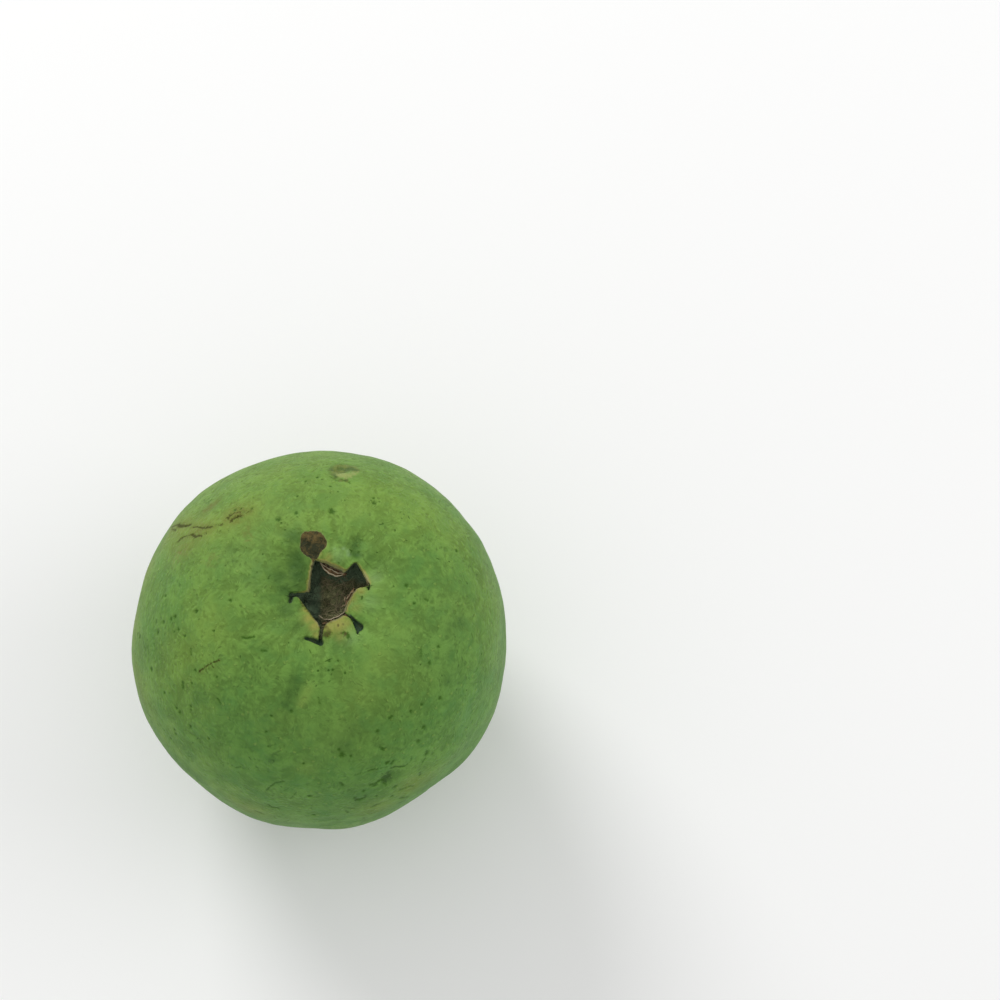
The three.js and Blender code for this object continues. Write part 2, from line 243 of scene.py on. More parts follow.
pits = [
    (174.5, 41.8, 0.25), (-174.3, 56.3, 0.3), (-175, 41.2, 0.3), (-174.9, 45.2, 0.3),
    (-175.3, 47.3, 0.3), (-169.1, 48.2, 0.3), (-169.2, 46.1, 0.2), (-172.3, 37.2, 0.3),
    (-175.3, 23.4, 0.4), (-164.8, 50.4, 0.25), (-159.6, 61.2, 0.2), (-175.7, 68.4, 0.3),
    (-161.8, 29.3, 0.4), (-148.8, 49.3, 0.3), (-151.4, 32.1, 0.25), (-144.2, 33.3, 0.28),
    (-142.4, 33.4, 0.32), (-140.1, 39.3, 0.28), (-139.2, 38.2, 0.2), (-136.1, 33, 0.3),
    (-140.8, 24.7, 0.3), (-139.7, 23.7, 0.25), (-140.8, 18.4, 0.25), (-138.8, 54.4, 0.2),
    (-145.5, 45.6, 0.2), (-105.8, 53.7, 0.22), (-127.7, 35, 0.2), (-106.8, 48.1, 0.2),
    (-89.9, 26.1, 0.38), (-89.5, 13.9, 0.3), (-91.1, 40, 0.2), (-70, 69.5, 0.2), (-69.8, 67, 0.16),
    (-72.6, 67.2, 0.14), (-79.7, 67.7, 0.14), (-63.2, 65, 0.16), (-54.5, 48.3, 0.35),
    (-46.6, 39.3, 0.35), (-46.9, 46.1, 0.22), (-42.1, 45.3, 0.22), (-61.4, 46.5, 0.3),
    (-96.5, 56.4, 0.25), (110.6, 65.6, 0.4), (98.1, 65.5, 0.3), (74.3, 64.8, 0.45),
    (87.1, 51.7, 0.22), (92.3, 53.2, 0.22), (96.5, 59.3, 0.2), (56.3, 56.6, 0.25),
    (58.2, 55.1, 0.2), (80, 55.7, 0.2), (4.6, 62.8, 0.28), (-5.3, 60.7, 0.2), (-20.2, 50.8, 0.25),
    (-28, 51.1, 0.28), (-35.7, 42.1, 0.3), (-50.7, 36.4, 0.3), (-76.7, 42.6, 0.45),
    (-73.7, 41.7, 0.2), (-62.6, 40.6, 0.22), (-63.6, 22.5, 0.4), (-65.3, 17.2, 0.34),
    (-72.9, 26.3, 0.3), (-69.6, 21.3, 0.26), (-63.1, 34.7, 0.2), (128.4, 52.4, 0.3),
    (125.9, 53.8, 0.2), (121.6, 56.7, 0.2), (-77.3, 44.4, 0.25), (150, -12, 0.3), (135, 5, 0.3),
    (60, 5, 0.35), (40, 30, 0.25), (95, 12, 0.3), (10, -30, 0.3), (-40, -15, 0.35),
    (-85, -25, 0.3), (-120, -5, 0.3), (-135, -35, 0.35), (70, -40, 0.3), (-60, -45, 0.3),
    (170, -45, 0.3), (20, 45, 0.25), (45, -28, 0.25), (115, -48, 0.3),
]


def say(words):
    print("guava:", words)


# small tools for the form

def smoothStep(start, end, value):
    share = np.clip((value - start) / (end - start), 0.0, 1.0)
    return share * share * (3.0 - 2.0 * share)


def hill(distance, width):
    return np.exp(-((distance / width) ** 2))


def turnBetween(start, angle):
    return np.arctan2(np.sin(angle - start), np.cos(angle - start))


def toward(aroundDegrees, upDegrees):
    around, up = math.radians(aroundDegrees), math.radians(upDegrees)
    level = math.cos(up)
    return np.array([math.cos(around) * level, math.sin(around) * level, math.sin(up)])


def archHeight(radius, rise, fullness):
    share = np.clip(radius / body["equatorRadius"], 0.0, 1.0)
    return rise * (1.0 - share ** fullness) ** (1.0 / fullness)


def crownHeight(radius):
    arch = archHeight(radius, body["crownRise"], body["crownFullness"])
    return equatorHeight + arch - body["basinDepth"] * hill(radius, body["basinWidth"])


def baseHeight(radius):
    arch = archHeight(radius, body["baseDrop"], body["baseFullness"])
    return equatorHeight - arch + body["dimpleDepth"] * hill(radius, body["dimpleWidth"])


floorHeight = float(crownHeight(0.0)) - calyx["cupDepth"]


def steps(start, end, count):
    return [start + (end - start) * i / count for i in range(1, count + 1)]


# the turned form

skinRows = {
    "columns": 360,
    "dimple": 14,
    "dimpleEdge": 9.2,       # mm from the axis, where the side's rows take over
    "side": 92,
    "sideLowest": 17,        # degrees from straight down
    "sideHighest": 156,
    "crown": 42,
    "lip": 8,
    "lipTurn": 70,           # degrees either way that the lip curls through
    "wall": 12,
    "wallEdge": 8.6,
    "floor": 18,
}


def sidePoint(turn):
    upper = turn > math.pi / 2
    rise = body["crownRise"] if upper else body["baseDrop"]
    fullness = body["crownFullness"] if upper else body["baseFullness"]
    across = (math.sin(turn) / body["equatorRadius"]) ** fullness
    along = (abs(math.cos(turn)) / rise) ** fullness
    radius = (across + along) ** (-1.0 / fullness) * math.sin(turn)
    return radius, float(crownHeight(radius) if upper else baseHeight(radius))


def turnedProfile():
    stubTop = float(baseHeight(0.0)) - body["stubDrop"]
    stubEdge = body["stubRadius"] + body["stubRound"]
    points = [(0.0, stubTop), (0.8, stubTop), (body["stubRadius"] - body["stubRound"], stubTop)]
    points.append((body["stubRadius"] - 0.08, stubTop + 0.08))
    points.append((body["stubRadius"], stubTop + body["stubRound"]))
    points.append((body["stubRadius"] + 0.04, float(baseHeight(stubEdge)) - 0.1))
    for radius in steps(stubEdge - 0.2, skinRows["dimpleEdge"], skinRows["dimple"]):
        points.append((radius, float(baseHeight(radius))))
    lowest, highest = math.radians(skinRows["sideLowest"]), math.radians(skinRows["sideHighest"])
    for row in range(skinRows["side"]):
        points.append(sidePoint(lowest + (highest - lowest) * row / (skinRows["side"] - 1)))
    last = points[-1][0]
    for radius in steps(last, calyx["mouthRadius"] + 0.2, skinRows["crown"]):
        points.append((radius, float(crownHeight(radius))))
    half = calyx["lipThickness"] / 2
    curl = skinRows["lipTurn"]
    lipTop = float(crownHeight(calyx["mouthRadius"]))
    for row in range(skinRows["lip"]):
        lean = math.radians(2 * curl * row / (skinRows["lip"] - 1) - curl)
        radius = calyx["mouthRadius"] + half * (1 - math.cos(lean))
        points.append((radius, lipTop - half * (1 + math.sin(lean))))
    thickening = calyx["rootThickness"] - calyx["lipThickness"]
    for radius in steps(calyx["mouthRadius"] + 0.4, skinRows["wallEdge"], skinRows["wall"]):
        share = (radius - calyx["mouthRadius"]) / (calyx["cupRadius"] - calyx["mouthRadius"])
        thickness = calyx["lipThickness"] + thickening * share
        points.append((radius, float(crownHeight(radius)) - thickness))
    wallTop = points[-1][1]
    points.append((calyx["cupRadius"] - 0.15, wallTop - 0.35))
    points.append((calyx["cupRadius"], (wallTop + floorHeight) / 2))
    points.append((calyx["cupRadius"] - 0.2, floorHeight + 0.3))
    points.append((calyx["cupRadius"] - 0.7, floorHeight + 0.05))
    for radius in steps(calyx["cupRadius"] - 0.7, calyx["styleRadius"] * 1.6, skinRows["floor"]):
        ring = calyx["discHeight"] * float(hill(radius - calyx["discRadius"], 0.6))
        points.append((radius, floorHeight + ring))
    points.append((calyx["styleRadius"] * 1.1, floorHeight + 0.35))
    points.append((calyx["styleRadius"], floorHeight + 0.7))
    points.append((calyx["styleRadius"] * 0.9, floorHeight + calyx["styleHeight"]))
    points.append((calyx["styleRadius"] * 0.4, floorHeight + calyx["styleHeight"] - 0.1))
    points.append((0.0, floorHeight + calyx["styleHeight"] - 0.15))
    return points


# the rules that turn the round form into a guava, as in the solid

def tornEdge(angle):
    places = [math.radians(place) for place, _ in tornOutline]
    radii = [radius for _, radius in tornOutline]
    return np.interp(angle, places, radii, period=2 * math.pi)


def lobeRelief(radius, angle):
    relief = calyx["puffHeight"] * hill(radius - calyx["puffRadius"], calyx["puffWidth"])
    for atDegrees, tip in calyx["tears"]:
        sideways = radius * turnBetween(math.radians(atDegrees), angle)
        beyond = smoothStep(tip + calyx["foldLength"], tip - 1.0, radius)
        relief -= calyx["foldDepth"] * beyond * hill(sideways, calyx["foldWidth"])
    fade = smoothStep(calyx["tearReach"], calyx["tearReach"] - dentFade, radius)
    for x, y, depth, width in crownDents:
        away = np.hypot(radius * np.cos(angle) - x, radius * np.sin(angle) - y)
        relief -= depth * fade * hill(away, width)
    return relief


def tearCalyx(points):
    radius = np.hypot(points[:, 0], points[:, 1])
    angle = np.arctan2(points[:, 1], points[:, 0])
    moves = (radius > 1e-6) & (radius <= calyx["tearReach"]) & (points[:, 2] >= equatorHeight)
    onLobes = smoothStep(floorHeight + 0.5, floorHeight + 1.8, points[:, 2])
    reach = calyx["tearReach"] - calyx["mouthRadius"]
    inward = 1.0 - np.clip((radius - calyx["mouthRadius"]) / reach, 0.0, 1.0)
    pull = (tornEdge(angle) - calyx["mouthRadius"]) * inward ** 2
    torn = radius + pull * onLobes * smoothStep(0.6, 2.5, radius)
    scale = np.where(moves, torn / np.maximum(radius, 1e-6), 1.0)
    lift = onLobes * (crownHeight(torn) - crownHeight(radius) + lobeRelief(torn, angle))
    out = points.copy()
    out[:, 0] *= scale
    out[:, 1] *= scale
    out[:, 2] += np.where(moves, lift, 0.0)
    return out


def pushLumps(points):
    outward = points - np.array([0.0, 0.0, equatorHeight])
    outward /= np.linalg.norm(outward, axis=1)[:, None]
    push = np.zeros(len(points))
    for around, up, height, width in lumps:
        away = np.arccos(np.clip(outward @ toward(around, up), -1.0, 1.0))
        push += height * hill(away, math.radians(width))
    return points + outward * push[:, None]


def pressScar(points):
    away = np.hypot(points[:, 0] - scar["x"], points[:, 1] - scar["y"])
    press = scar["depth"] * smoothStep(scar["radius"] + 0.4, scar["radius"] - 0.5, away)
    above = points[:, 2] >= floorHeight + calyx["cupDepth"] / 2
    out = points.copy()
    out[:, 2] -= np.where(above, press, 0.0)
    return out


def holeMask(points):
    mask = np.zeros(len(points))
    flat = points[:, :2]
    for (x1, y1, r1), (x2, y2, r2) in tearHoles:
        start, end = np.array([x1, y1]), np.array([x2, y2])
        along = end - start
        share = np.clip((flat - start) @ along / (along @ along), 0.0, 1.0)
        away = np.linalg.norm(flat - (start + share[:, None] * along), axis=1)
        radius = r1 + (r2 - r1) * share
        mask = np.maximum(mask, smoothStep(radius + 0.12, radius - 0.18, away))
    return mask


def openHoles(points, onSkin):
    out = points.copy()
    out[:, 2] -= holeDepth * holeMask(points) * onSkin
    return out


def leanCrown(points):
    top = equatorHeight + body["crownRise"]
    out = points.copy()
    out[:, 0] += body["crownLean"] * smoothStep(equatorHeight, top, points[:, 2])
    return out


skinDepth = 0.05    # mm, what lies less deep than this is the skin of the crown


def underSkin(turned):
    # how far a point of the turned form lies under the skin of the crown
    radius = np.hypot(turned[:, 0], turned[:, 1])
    return crownHeight(radius) - turned[:, 2]


def grown(turned):
    onSkin = (turned[:, 2] > equatorHeight) & (underSkin(turned) < skinDepth)
    points = openHoles(pushLumps(tearCalyx(turned)), onSkin)
    points = leanCrown(pressScar(points))
    points[:, 2] = np.maximum(points[:, 2], 0.0)
    return points


def fromMiddle(points):
    outward = points - np.array([0.0, 0.0, equatorHeight])
    return outward / np.linalg.norm(outward, axis=1)[:, None]


def distanceToLine(outward, line):
    # arc distance in millimetres from each direction to a broken line drawn on the skin
    best = np.full(len(outward), 1e3)
    ends = [toward(*place) for place in line]
    for start, end in zip(ends, ends[1:]):
        along = end - start
        share = np.clip((outward - start) @ along / (along @ along), 0.0, 1.0)
        nearest = start + share[:, None] * along
        best = np.minimum(best, np.linalg.norm(outward - nearest, axis=1))
    return best * body["equatorRadius"]


def distanceToPlace(outward, place):
    return np.linalg.norm(outward - toward(*place), axis=1) * body["equatorRadius"]


# mesh helpers

def deselectAll():
    for thing in bpy.context.scene.objects:
        thing.select_set(False)


def makeActive(piece):
    deselectAll()
    piece.select_set(True)
    bpy.context.view_layer.objects.active = piece


def getPoints(mesh):
    flat = np.empty(len(mesh.vertices) * 3)
    mesh.vertices.foreach_get("co", flat)
    return flat.reshape(-1, 3)


def setPoints(mesh, points):
    mesh.vertices.foreach_set("co", np.ascontiguousarray(points).ravel())
    mesh.update()


def getNormals(mesh):
    flat = np.empty(len(mesh.vertices) * 3)
    mesh.vertex_normals.foreach_get("vector", flat)
    return flat.reshape(-1, 3)


def selectFaces(mesh, chosen):
    # edit mode reads what object mode flags, so vertices and edges are cleared first
    mesh.vertices.foreach_set("select", np.zeros(len(mesh.vertices), dtype=bool))
    mesh.edges.foreach_set("select", np.zeros(len(mesh.edges), dtype=bool))
    mesh.polygons.foreach_set("select", chosen)


def faceCentres(mesh):
    flat = np.empty(len(mesh.polygons) * 3)
    mesh.polygons.foreach_get("center", flat)
    return flat.reshape(-1, 3)


def writeMask(mesh, name, values):
    mask = mesh.attributes.new(name, "FLOAT", "POINT")
    mask.data.foreach_set("value", np.ascontiguousarray(values, dtype=np.float32))


def turnSkin():
    profile = turnedProfile()
    bpy.ops.mesh.primitive_circle_add(vertices=len(profile), radius=10 * mm)
    piece = bpy.context.object
    piece.name = piece.data.name = "guavaSkin"
    makeActive(piece)
    setPoints(piece.data, np.array([(radius, 0.0, height) for radius, height in profile]) * mm)
    bpy.ops.object.mode_set(mode="EDIT")
    bpy.ops.mesh.select_mode(type="EDGE")
    bpy.ops.mesh.select_all(action="DESELECT")
    bpy.ops.object.mode_set(mode="OBJECT")
    last = len(profile) - 1
    for edge in piece.data.edges:    # the edge that closes the ring along the axis goes
        edge.select = set(edge.vertices) == {0, last}
    bpy.ops.object.mode_set(mode="EDIT")
    bpy.ops.mesh.delete(type="EDGE")
    bpy.ops.mesh.select_all(action="SELECT")
    bpy.ops.mesh.spin(
        steps=skinRows["columns"], angle=2 * math.pi, center=(0, 0, 0), axis=(0, 0, 1)
    )
    bpy.ops.mesh.select_all(action="SELECT")
    bpy.ops.mesh.remove_doubles(threshold=0.002 * mm)
    bpy.ops.mesh.normals_make_consistent(inside=False)
    bpy.ops.object.mode_set(mode="OBJECT")
    return piece


def refineMarks(piece):
    # two rounds of finer faces along the cracks and over the pits
    mesh = piece.data
    for reach in (0.9, 0.5):
        centres = faceCentres(mesh) / mm
        outward = fromMiddle(grown(centres))
        onSkin = (centres[:, 2] > 3.0) & (np.linalg.norm(centres[:, :2], axis=1) > 12.0)
        near = np.zeros(len(centres), dtype=bool)
        for line, width, strength in cracks + streaks:
            near |= distanceToLine(outward, line) < reach
        for around, up, width in pits:
            near |= distanceToPlace(outward, (around, up)) < reach
        bpy.ops.object.mode_set(mode="EDIT")
        bpy.ops.mesh.select_mode(type="FACE")
        bpy.ops.object.mode_set(mode="OBJECT")
        selectFaces(mesh, near & onSkin)
        bpy.ops.object.mode_set(mode="EDIT")
        bpy.ops.mesh.subdivide(number_cuts=1)
        bpy.ops.object.mode_set(mode="OBJECT")


def softNoise(points, size, seed):
    shift = Vector((seed * 13.7, seed * 7.1, seed * 3.3))
    return np.array([noise.noise(Vector(point) / size + shift) for point in points])


markSpread = 1.35    # how softly the marks fade into the skin

skinRelief = {
    "swellSize": 8.0,      # mm, slow unevenness
    "swellHeight": 0.22,
    "peelSize": 2.4,       # mm, orange peel
    "peelHeight": 0.06,
    "crackDepth": 0.08,
    "pitDepth": 0.16,
    "crustSize": 0.9,
    "crustHeight": 0.35,
    "fibreSize": 0.55,
    "fibreHeight": 0.22,
}


def reliefWhere(points, mask, size, seed):
    # noise only where the mask shows, which saves time
    height = np.zeros(len(points))
    shown = mask > 0.01
    height[shown] = softNoise(points[shown], size, seed) * mask[shown]
    return height


def reliefOf(points, outward, masks):
    shape = skinRelief
    flat = points[:, :2] - np.array([body["crownLean"], 0.0])
    bare = 1.0 - np.maximum(np.maximum(masks["cup"], masks["scar"]), masks["gap"])
    height = shape["swellHeight"] * softNoise(points, shape["swellSize"], 1)
    height += shape["peelHeight"] * softNoise(points, shape["peelSize"], 2)
    for around, up, rise, width in skinDents:
        height += rise * hill(distanceToPlace(outward, (around, up)), width)
    for x, y, rise, width in lobeSwells:
        away = np.hypot(flat[:, 0] - x, flat[:, 1] - y)
        height += rise * hill(away, width) * (points[:, 2] > equatorHeight)
    lines = np.maximum(masks["cracks"], masks["streaks"])
    height -= shape["crackDepth"] * lines + shape["pitDepth"] * masks["pits"]
    height *= bare
    height += shape["crustHeight"] * reliefWhere(points, masks["scar"], shape["crustSize"], 3)
    height += shape["fibreHeight"] * reliefWhere(points, masks["cup"], shape["fibreSize"], 4)
    return height


# Tinted places: the middle in millimetres from the middle of the calyx, width and strength.
yellowPlaces = [
    (2.2, -5.7, 1.8, 1.0), (0.6, -6.3, 1.5, 1.0), (3.4, -5.4, 1.0, 0.8), (-3.0, -4.4, 1.2, 1.0),
    (-3.7, -3.0, 0.8, 0.9), (-2.1, -5.9, 1.0, 1.0), (4.9, 1.1, 1.3, 0.9), (4.4, -0.8, 1.0, 0.7),
    (5.9, 0.4, 0.9, 0.8), (-1.8, -7.4, 0.7, 0.8), (6.4, 2.0, 1.0, 0.7), (-1.7, 7.2, 0.6, 0.7),
    (0.0, 6.4, 0.8, 0.6), (2.4, -7.6, 1.2, 0.5), (-1.2, 8.6, 0.7, 0.5), (5.2, -2.6, 1.0, 0.4),
]
# painted shade: darker green on the basin walls that face away from the key light and in the dents
# beside the lobes
basinShadePlaces = [
    (-5.4, 6.4, 2.5, 0.9), (-5.4, 5.0, 2.5, 1.0), (-5.3, 3.4, 2.4, 1.0), (-5.6, 1.6, 1.8, 0.8),
    (-6.6, -0.6, 2.0, 0.6), (-8.4, 2.9, 2.4, 0.85), (-7.0, -2.7, 2.2, 0.7),
    (-10.8, 3.2, 3.0, 0.35), (-5.0, -2.4, 0.9, 0.6), (-4.5, -8.5, 1.0, 0.45),
    (-9.6, -0.4, 2.2, 0.3), (-6.3, -5.8, 2.0, 0.4), (-7.2, 0.9, 2.2, 0.8), (9.0, 5.6, 1.8, 0.3),
    (7.4, 6.4, 1.6, 0.35), (-5.9, 10.2, 1.8, 0.8), (4.7, 8.8, 1.0, 0.7), (4.95, 7.2, 1.1, 1.0),
    (5.1, 9.9, 0.8, 0.5), (-5.5, 9.6, 0.9, 0.8), (-4.9, -5.9, 1.8, 0.6), (-8.8, 4.6, 2.8, 0.5),
    (2.4, -9.4, 2.0, 0.3), (-6.9, -5.4, 2.4, 0.3), (-4.2, 0.9, 1.0, 0.7),
]
# darker parts of the round scar: darker crust on its lower half, with painted shade along its
# lower left edge
crustAndShadePlaces = [
    (-4.2, 8.6, 1.3, 1.0), (-3.0, 8.3, 1.2, 0.8), (-2.6, 7.1, 1.0, 0.8), (-1.6, 9.9, 0.5, 0.6),
]
# brown, dried places round the tears and on the lobes
bruisePlaces = [
    (-1.15, -6.0, 0.5, 0.9), (-1.05, -6.8, 0.5, 1.0), (-1.0, -7.6, 0.5, 1.0),
    (-0.3, -7.5, 0.5, 0.9), (0.15, -7.05, 0.45, 0.8), (-0.7, -5.3, 0.7, 0.9),
    (0.4, -5.2, 0.6, 0.7), (2.05, -5.9, 0.35, 0.9), (2.9, -5.7, 0.3, 0.9), (3.3, -7.35, 0.4, 1.0),
    (2.6, -7.2, 0.35, 0.9), (3.1, -7.8, 0.3, 0.8), (-3.9, -1.2, 0.4, 0.6), (-5.0, 0.3, 0.4, 0.5),
    (-0.4, -5.0, 0.9, 0.85), (0.6, -5.2, 0.8, 0.7), (0.4, -6.6, 0.8, 0.65),
    (-0.2, -6.0, 0.8, 0.75), (1.3, -4.5, 0.6, 0.6), (-2.3, -8.0, 0.35, 0.5), (4.6, 1.4, 0.4, 0.5),
    (5.2, -5.0, 0.3, 0.4), (-0.2, -7.3, 0.5, 1.0), (0.1, -7.6, 0.4, 1.0), (0.5, -7.3, 0.45, 0.9),
    (0.8, -7.0, 0.35, 0.6), (5.1, 5.6, 0.45, 0.6), (5.6, 4.6, 0.4, 0.5), (-2.9, 5.1, 0.4, 0.7),
    (-4.7, -0.95, 0.35, 0.7), (-4.5, -1.5, 0.35, 0.8), (-4.25, -2.1, 0.35, 0.75),
    (-3.8, -2.7, 0.35, 0.7), (-3.4, -3.2, 0.35, 0.7), (-3.0, -3.7, 0.35, 0.6),
    (-2.5, -4.3, 0.3, 0.5),
]

# The pale edge of the lobes: degrees round the calyx, strength, and width in millimetres.
rimShowing = [
    (-180, 0.0, 0.4), (-176, 0.4, 0.4), (-165, 0.45, 0.4), (-140, 0.4, 0.4), (-126, 0.6, 0.5),
    (-115, 0.8, 0.6), (-104, 1.0, 0.6), (-100, 0.2, 0.4), (-96, 0.0, 0.3), (-93, 0.3, 0.4),
    (-89, 0.9, 0.6), (-60, 0.9, 0.65), (-51, 0.7, 0.6), (-49, 0.0, 0.4), (-43, 0.0, 0.4),
    (-41, 0.8, 0.5), (-15, 0.7, 0.5), (6, 1.0, 0.55), (9, 0.6, 0.4), (15, 1.0, 0.5),
    (26, 0.8, 0.55), (35, 0.5, 0.45), (48, 0.2, 0.3), (56, 0.7, 0.4), (75, 0.7, 0.45),
    (100, 0.7, 0.45), (108, 0.6, 0.4), (118, 1.0, 0.7), (130, 1.0, 0.8), (150, 1.0, 0.8),
    (163, 1.0, 0.7), (166, 0.8, 0.5), (172, 0.4, 0.4),
]

# swells and dips of the lobes too small for the solid: x, y, height and width in millimetres
lobeSwells = [
    (1.9, 6.9, 0.5, 1.5), (4.95, 7.3, -0.6, 1.1), (4.8, 9.0, -0.3, 1.0), (5.4, 0.6, 0.2, 1.2),
    (1.2, -6.2, 0.25, 1.3), (-3.8, -3.4, 0.2, 1.3), (-1.3, 8.4, 0.12, 0.6),
]
# paler glints on the lobes
gleamPlaces = [
    (3.6, 7.0, 0.45, 1.2), (3.4, 7.6, 0.4, 1.0), (2.7, 8.0, 0.4, 0.9), (1.2, 7.9, 0.4, 0.6),
    (1.9, 6.8, 1.3, 0.45), (3.8, -1.5, 0.9, 0.6), (7.6, -1.6, 1.5, 0.4), (4.4, -7.9, 1.6, 0.4),
    (8.2, 2.6, 1.4, 0.5),
]

# Tinted places further out: degrees round and up, width in millimetres and strength.
russetPlaces = [
    (133, 40.4, 1.0, 0.9), (136, 38.5, 0.8, 0.7), (132, 63.7, 0.9, 0.8), (136, 65.6, 0.7, 0.7),
    (145.5, 46.5, 1.8, 0.6), (157, 42.5, 2.2, 0.7), (157, 58.5, 1.6, 0.5), (129, 54.5, 1.8, 0.8),
    (28, -16, 2.6, 0.7), (-10, 12, 1.8, 0.5), (-150, -34, 2.4, 0.6),
]
olivePlaces = [
    (147, 26, 4.0, 0.8), (146, 34, 4.0, 0.9), (145, 42, 4.0, 0.9), (143, 49, 3.5, 0.8),
    (132, 54, 3.0, 0.9), (124, 57, 2.6, 0.6), (152, 44, 3.5, 0.6), (160, 18, 4.0, 0.7),
    (178, 14, 4.5, 0.6), (-165, 12, 4.5, 0.5), (-70, 12, 4.0, 0.5), (-58, 17, 4.0, 0.6),
    (-110, 8, 4.0, 0.5), (60, -20, 5.0, 0.6), (-20, -35, 5.0, 0.5), (110, -30, 5.0, 0.5),
]
smudgePlaces = [
    (-63.9, 30.3, 0.7, 0.8), (-64.9, 28.7, 1.0, 1.0), (-65.6, 27.6, 0.8, 0.9),
    (-76.0, 21.2, 0.5, 0.6), (-61.0, 20.0, 0.6, 0.5), (-102.6, 39.4, 0.7, 0.7),
    (-8.0, 46.2, 0.7, 0.5), (-94.6, 62.4, 0.6, 0.4), (34, -22, 0.9, 0.7), (140, -8, 0.8, 0.7),
]
palePlaces = [
    (77.0, 49.9, 1.0, 1.0), (75.2, 49.9, 1.1, 1.0), (73.6, 49.4, 0.8, 1.0),
    (72.3, 48.5, 0.65, 1.0), (71.2, 47.4, 0.55, 1.0),
]
tannedPlaces = [
    (80.0, 45.6, 1.2, 0.9), (78.0, 45.2, 1.4, 1.0), (76.0, 45.2, 1.3, 1.0), (81.2, 47.4, 1.0, 0.9),
    (79.1, 47.4, 1.2, 1.0), (76.8, 46.8, 1.1, 0.9), (74.2, 45.0, 1.1, 0.9), (72.3, 46.0, 0.9, 0.9),
    (79.8, 49.6, 0.9, 1.0), (78.9, 51.2, 0.6, 0.8), (76.2, 52.3, 0.5, 0.9), (74.0, 52.1, 0.5, 0.9),
]
# painted shade: darker green places beside dents, smudges and scars and on patches of the skin
shadyPlaces = [
    (80.6, 46.6, 1.8, 0.5), (77.6, 45.6, 1.8, 0.6), (179.5, 36, 2.4, 0.28),
    (-169.9, 36, 2.6, 0.28), (-161.6, 35.7, 2.4, 0.25), (-69.2, 50.0, 1.8, 0.7),
    (-62.6, 62.0, 1.4, 0.5), (-75.6, 45.1, 2.0, 0.8), (-102.7, 39.8, 0.9, 0.8),
    (-95.0, 65.6, 1.1, 0.7), (-95.2, 63.0, 1.1, 0.8), (-7.6, 46.5, 1.4, 0.6),
    (-10.5, 49.0, 1.0, 0.5), (-29.0, 43.5, 1.3, 0.6), (147.2, 63.3, 1.5, 0.6), (153, 66, 1.0, 0.5),
    (44.4, 61.0, 0.8, 0.5), (-64.8, 28.8, 1.2, 0.7), (-74, 41, 2.5, 0.35), (-74, 30, 2.6, 0.4),
    (-76, 22, 2.0, 0.3), (-170, 27, 2.6, 0.4), (-140, 44, 2.2, 0.35), (40, -5, 2.0, 0.6),
    (-98.0, 60.6, 1.3, 0.8), (-99.3, 58.1, 1.3, 0.8), (100, -10, 2.2, 0.5), (-100, -20, 2.4, 0.5),
    (-30, -12, 2.0, 0.5), (160, -20, 2.2, 0.5),
]
# painted light: lighter green on ridges, in bands along the left edge and toward the top, where
# the light falls
paintedLightPlaces = [
    (-84.9, 63.9, 0.8, 0.4), (-87.5, 62.6, 0.8, 0.9), (-89.3, 60.9, 0.8, 1.0),
    (-91.5, 59.2, 0.8, 0.8), (2.2, 69.5, 3.0, 0.3), (-24.1, 64.8, 3.5, 0.4),
    (-41.9, 62.5, 3.5, 0.45), (-60, 59.2, 3.5, 0.35), (64, 61.5, 2.6, 0.55),
    (-126, 23.9, 2.6, 0.3), (-142, 23.9, 2.0, 0.35), (-115.4, 18.9, 2.0, 0.3),
    (-90, 38.3, 2.2, 0.35), (-80, 50, 5.0, 0.2), (-165, 60, 4.0, 0.2), (-158, 18, 2.2, 0.3),
    (-150, 16, 2.0, 0.38), (-143, 14, 2.0, 0.42), (-136, 16, 2.0, 0.42), (-129, 16, 2.0, 0.42),
    (-122, 14, 2.0, 0.42), (-115, 12, 2.0, 0.42), (-108, 10, 2.0, 0.35), (70, 55, 4.0, 0.25),
    (130, 60, 5.0, 0.15),
]


def placesOnCrown(flat, places):
    mask = np.zeros(len(flat))
    for x, y, width, strength in places:
        mask = np.maximum(mask, strength * hill(np.hypot(flat[:, 0] - x, flat[:, 1] - y), width))
    return mask


def placesOnSkin(outward, places):
    mask = np.zeros(len(outward))
    for around, up, width, strength in places:
        mask = np.maximum(mask, strength * hill(distanceToPlace(outward, (around, up)), width))
    return mask


def scarShape(flat):
    # the round scar, uneven at its edge, drawing in to the neck that joins it to the nearest tear
    middle = np.array([scar["x"], scar["y"]])
    away = flat - middle
    angle = np.arctan2(away[:, 1], away[:, 0])
    edge = scar["radius"] * (1 + 0.05 * np.sin(3 * angle + 1) + 0.04 * np.sin(5 * angle + 2.5))
    disc = smoothStep(edge + 0.2, edge - 0.25, np.linalg.norm(away, axis=1))
    along = np.array(scar["neck"]) - middle
    share = np.clip(away @ along / (along @ along), 0.0, 1.0)
    beside = np.linalg.norm(away - share[:, None] * along, axis=1)
    reach = scar["radius"] * 0.92 + (scar["neckRadius"] - scar["radius"] * 0.92) * share
    return np.maximum(disc, smoothStep(reach + 0.2, reach - 0.25, beside))


def slitMask(flat):
    # the narrow tears, from the mouth out to their tips
    radius = np.hypot(flat[:, 0], flat[:, 1])
    angle = np.arctan2(flat[:, 1], flat[:, 0])
    mask = np.zeros(len(flat))
    for atDegrees, tip in calyx["tears"][2:]:
        sideways = np.abs(radius * turnBetween(math.radians(atDegrees), angle))
        along = smoothStep(4.8, 6.2, radius) * smoothStep(tip + 0.3, tip - 0.2, radius)
        mask = np.maximum(mask, along * smoothStep(0.42, 0.2, sideways))
    return mask


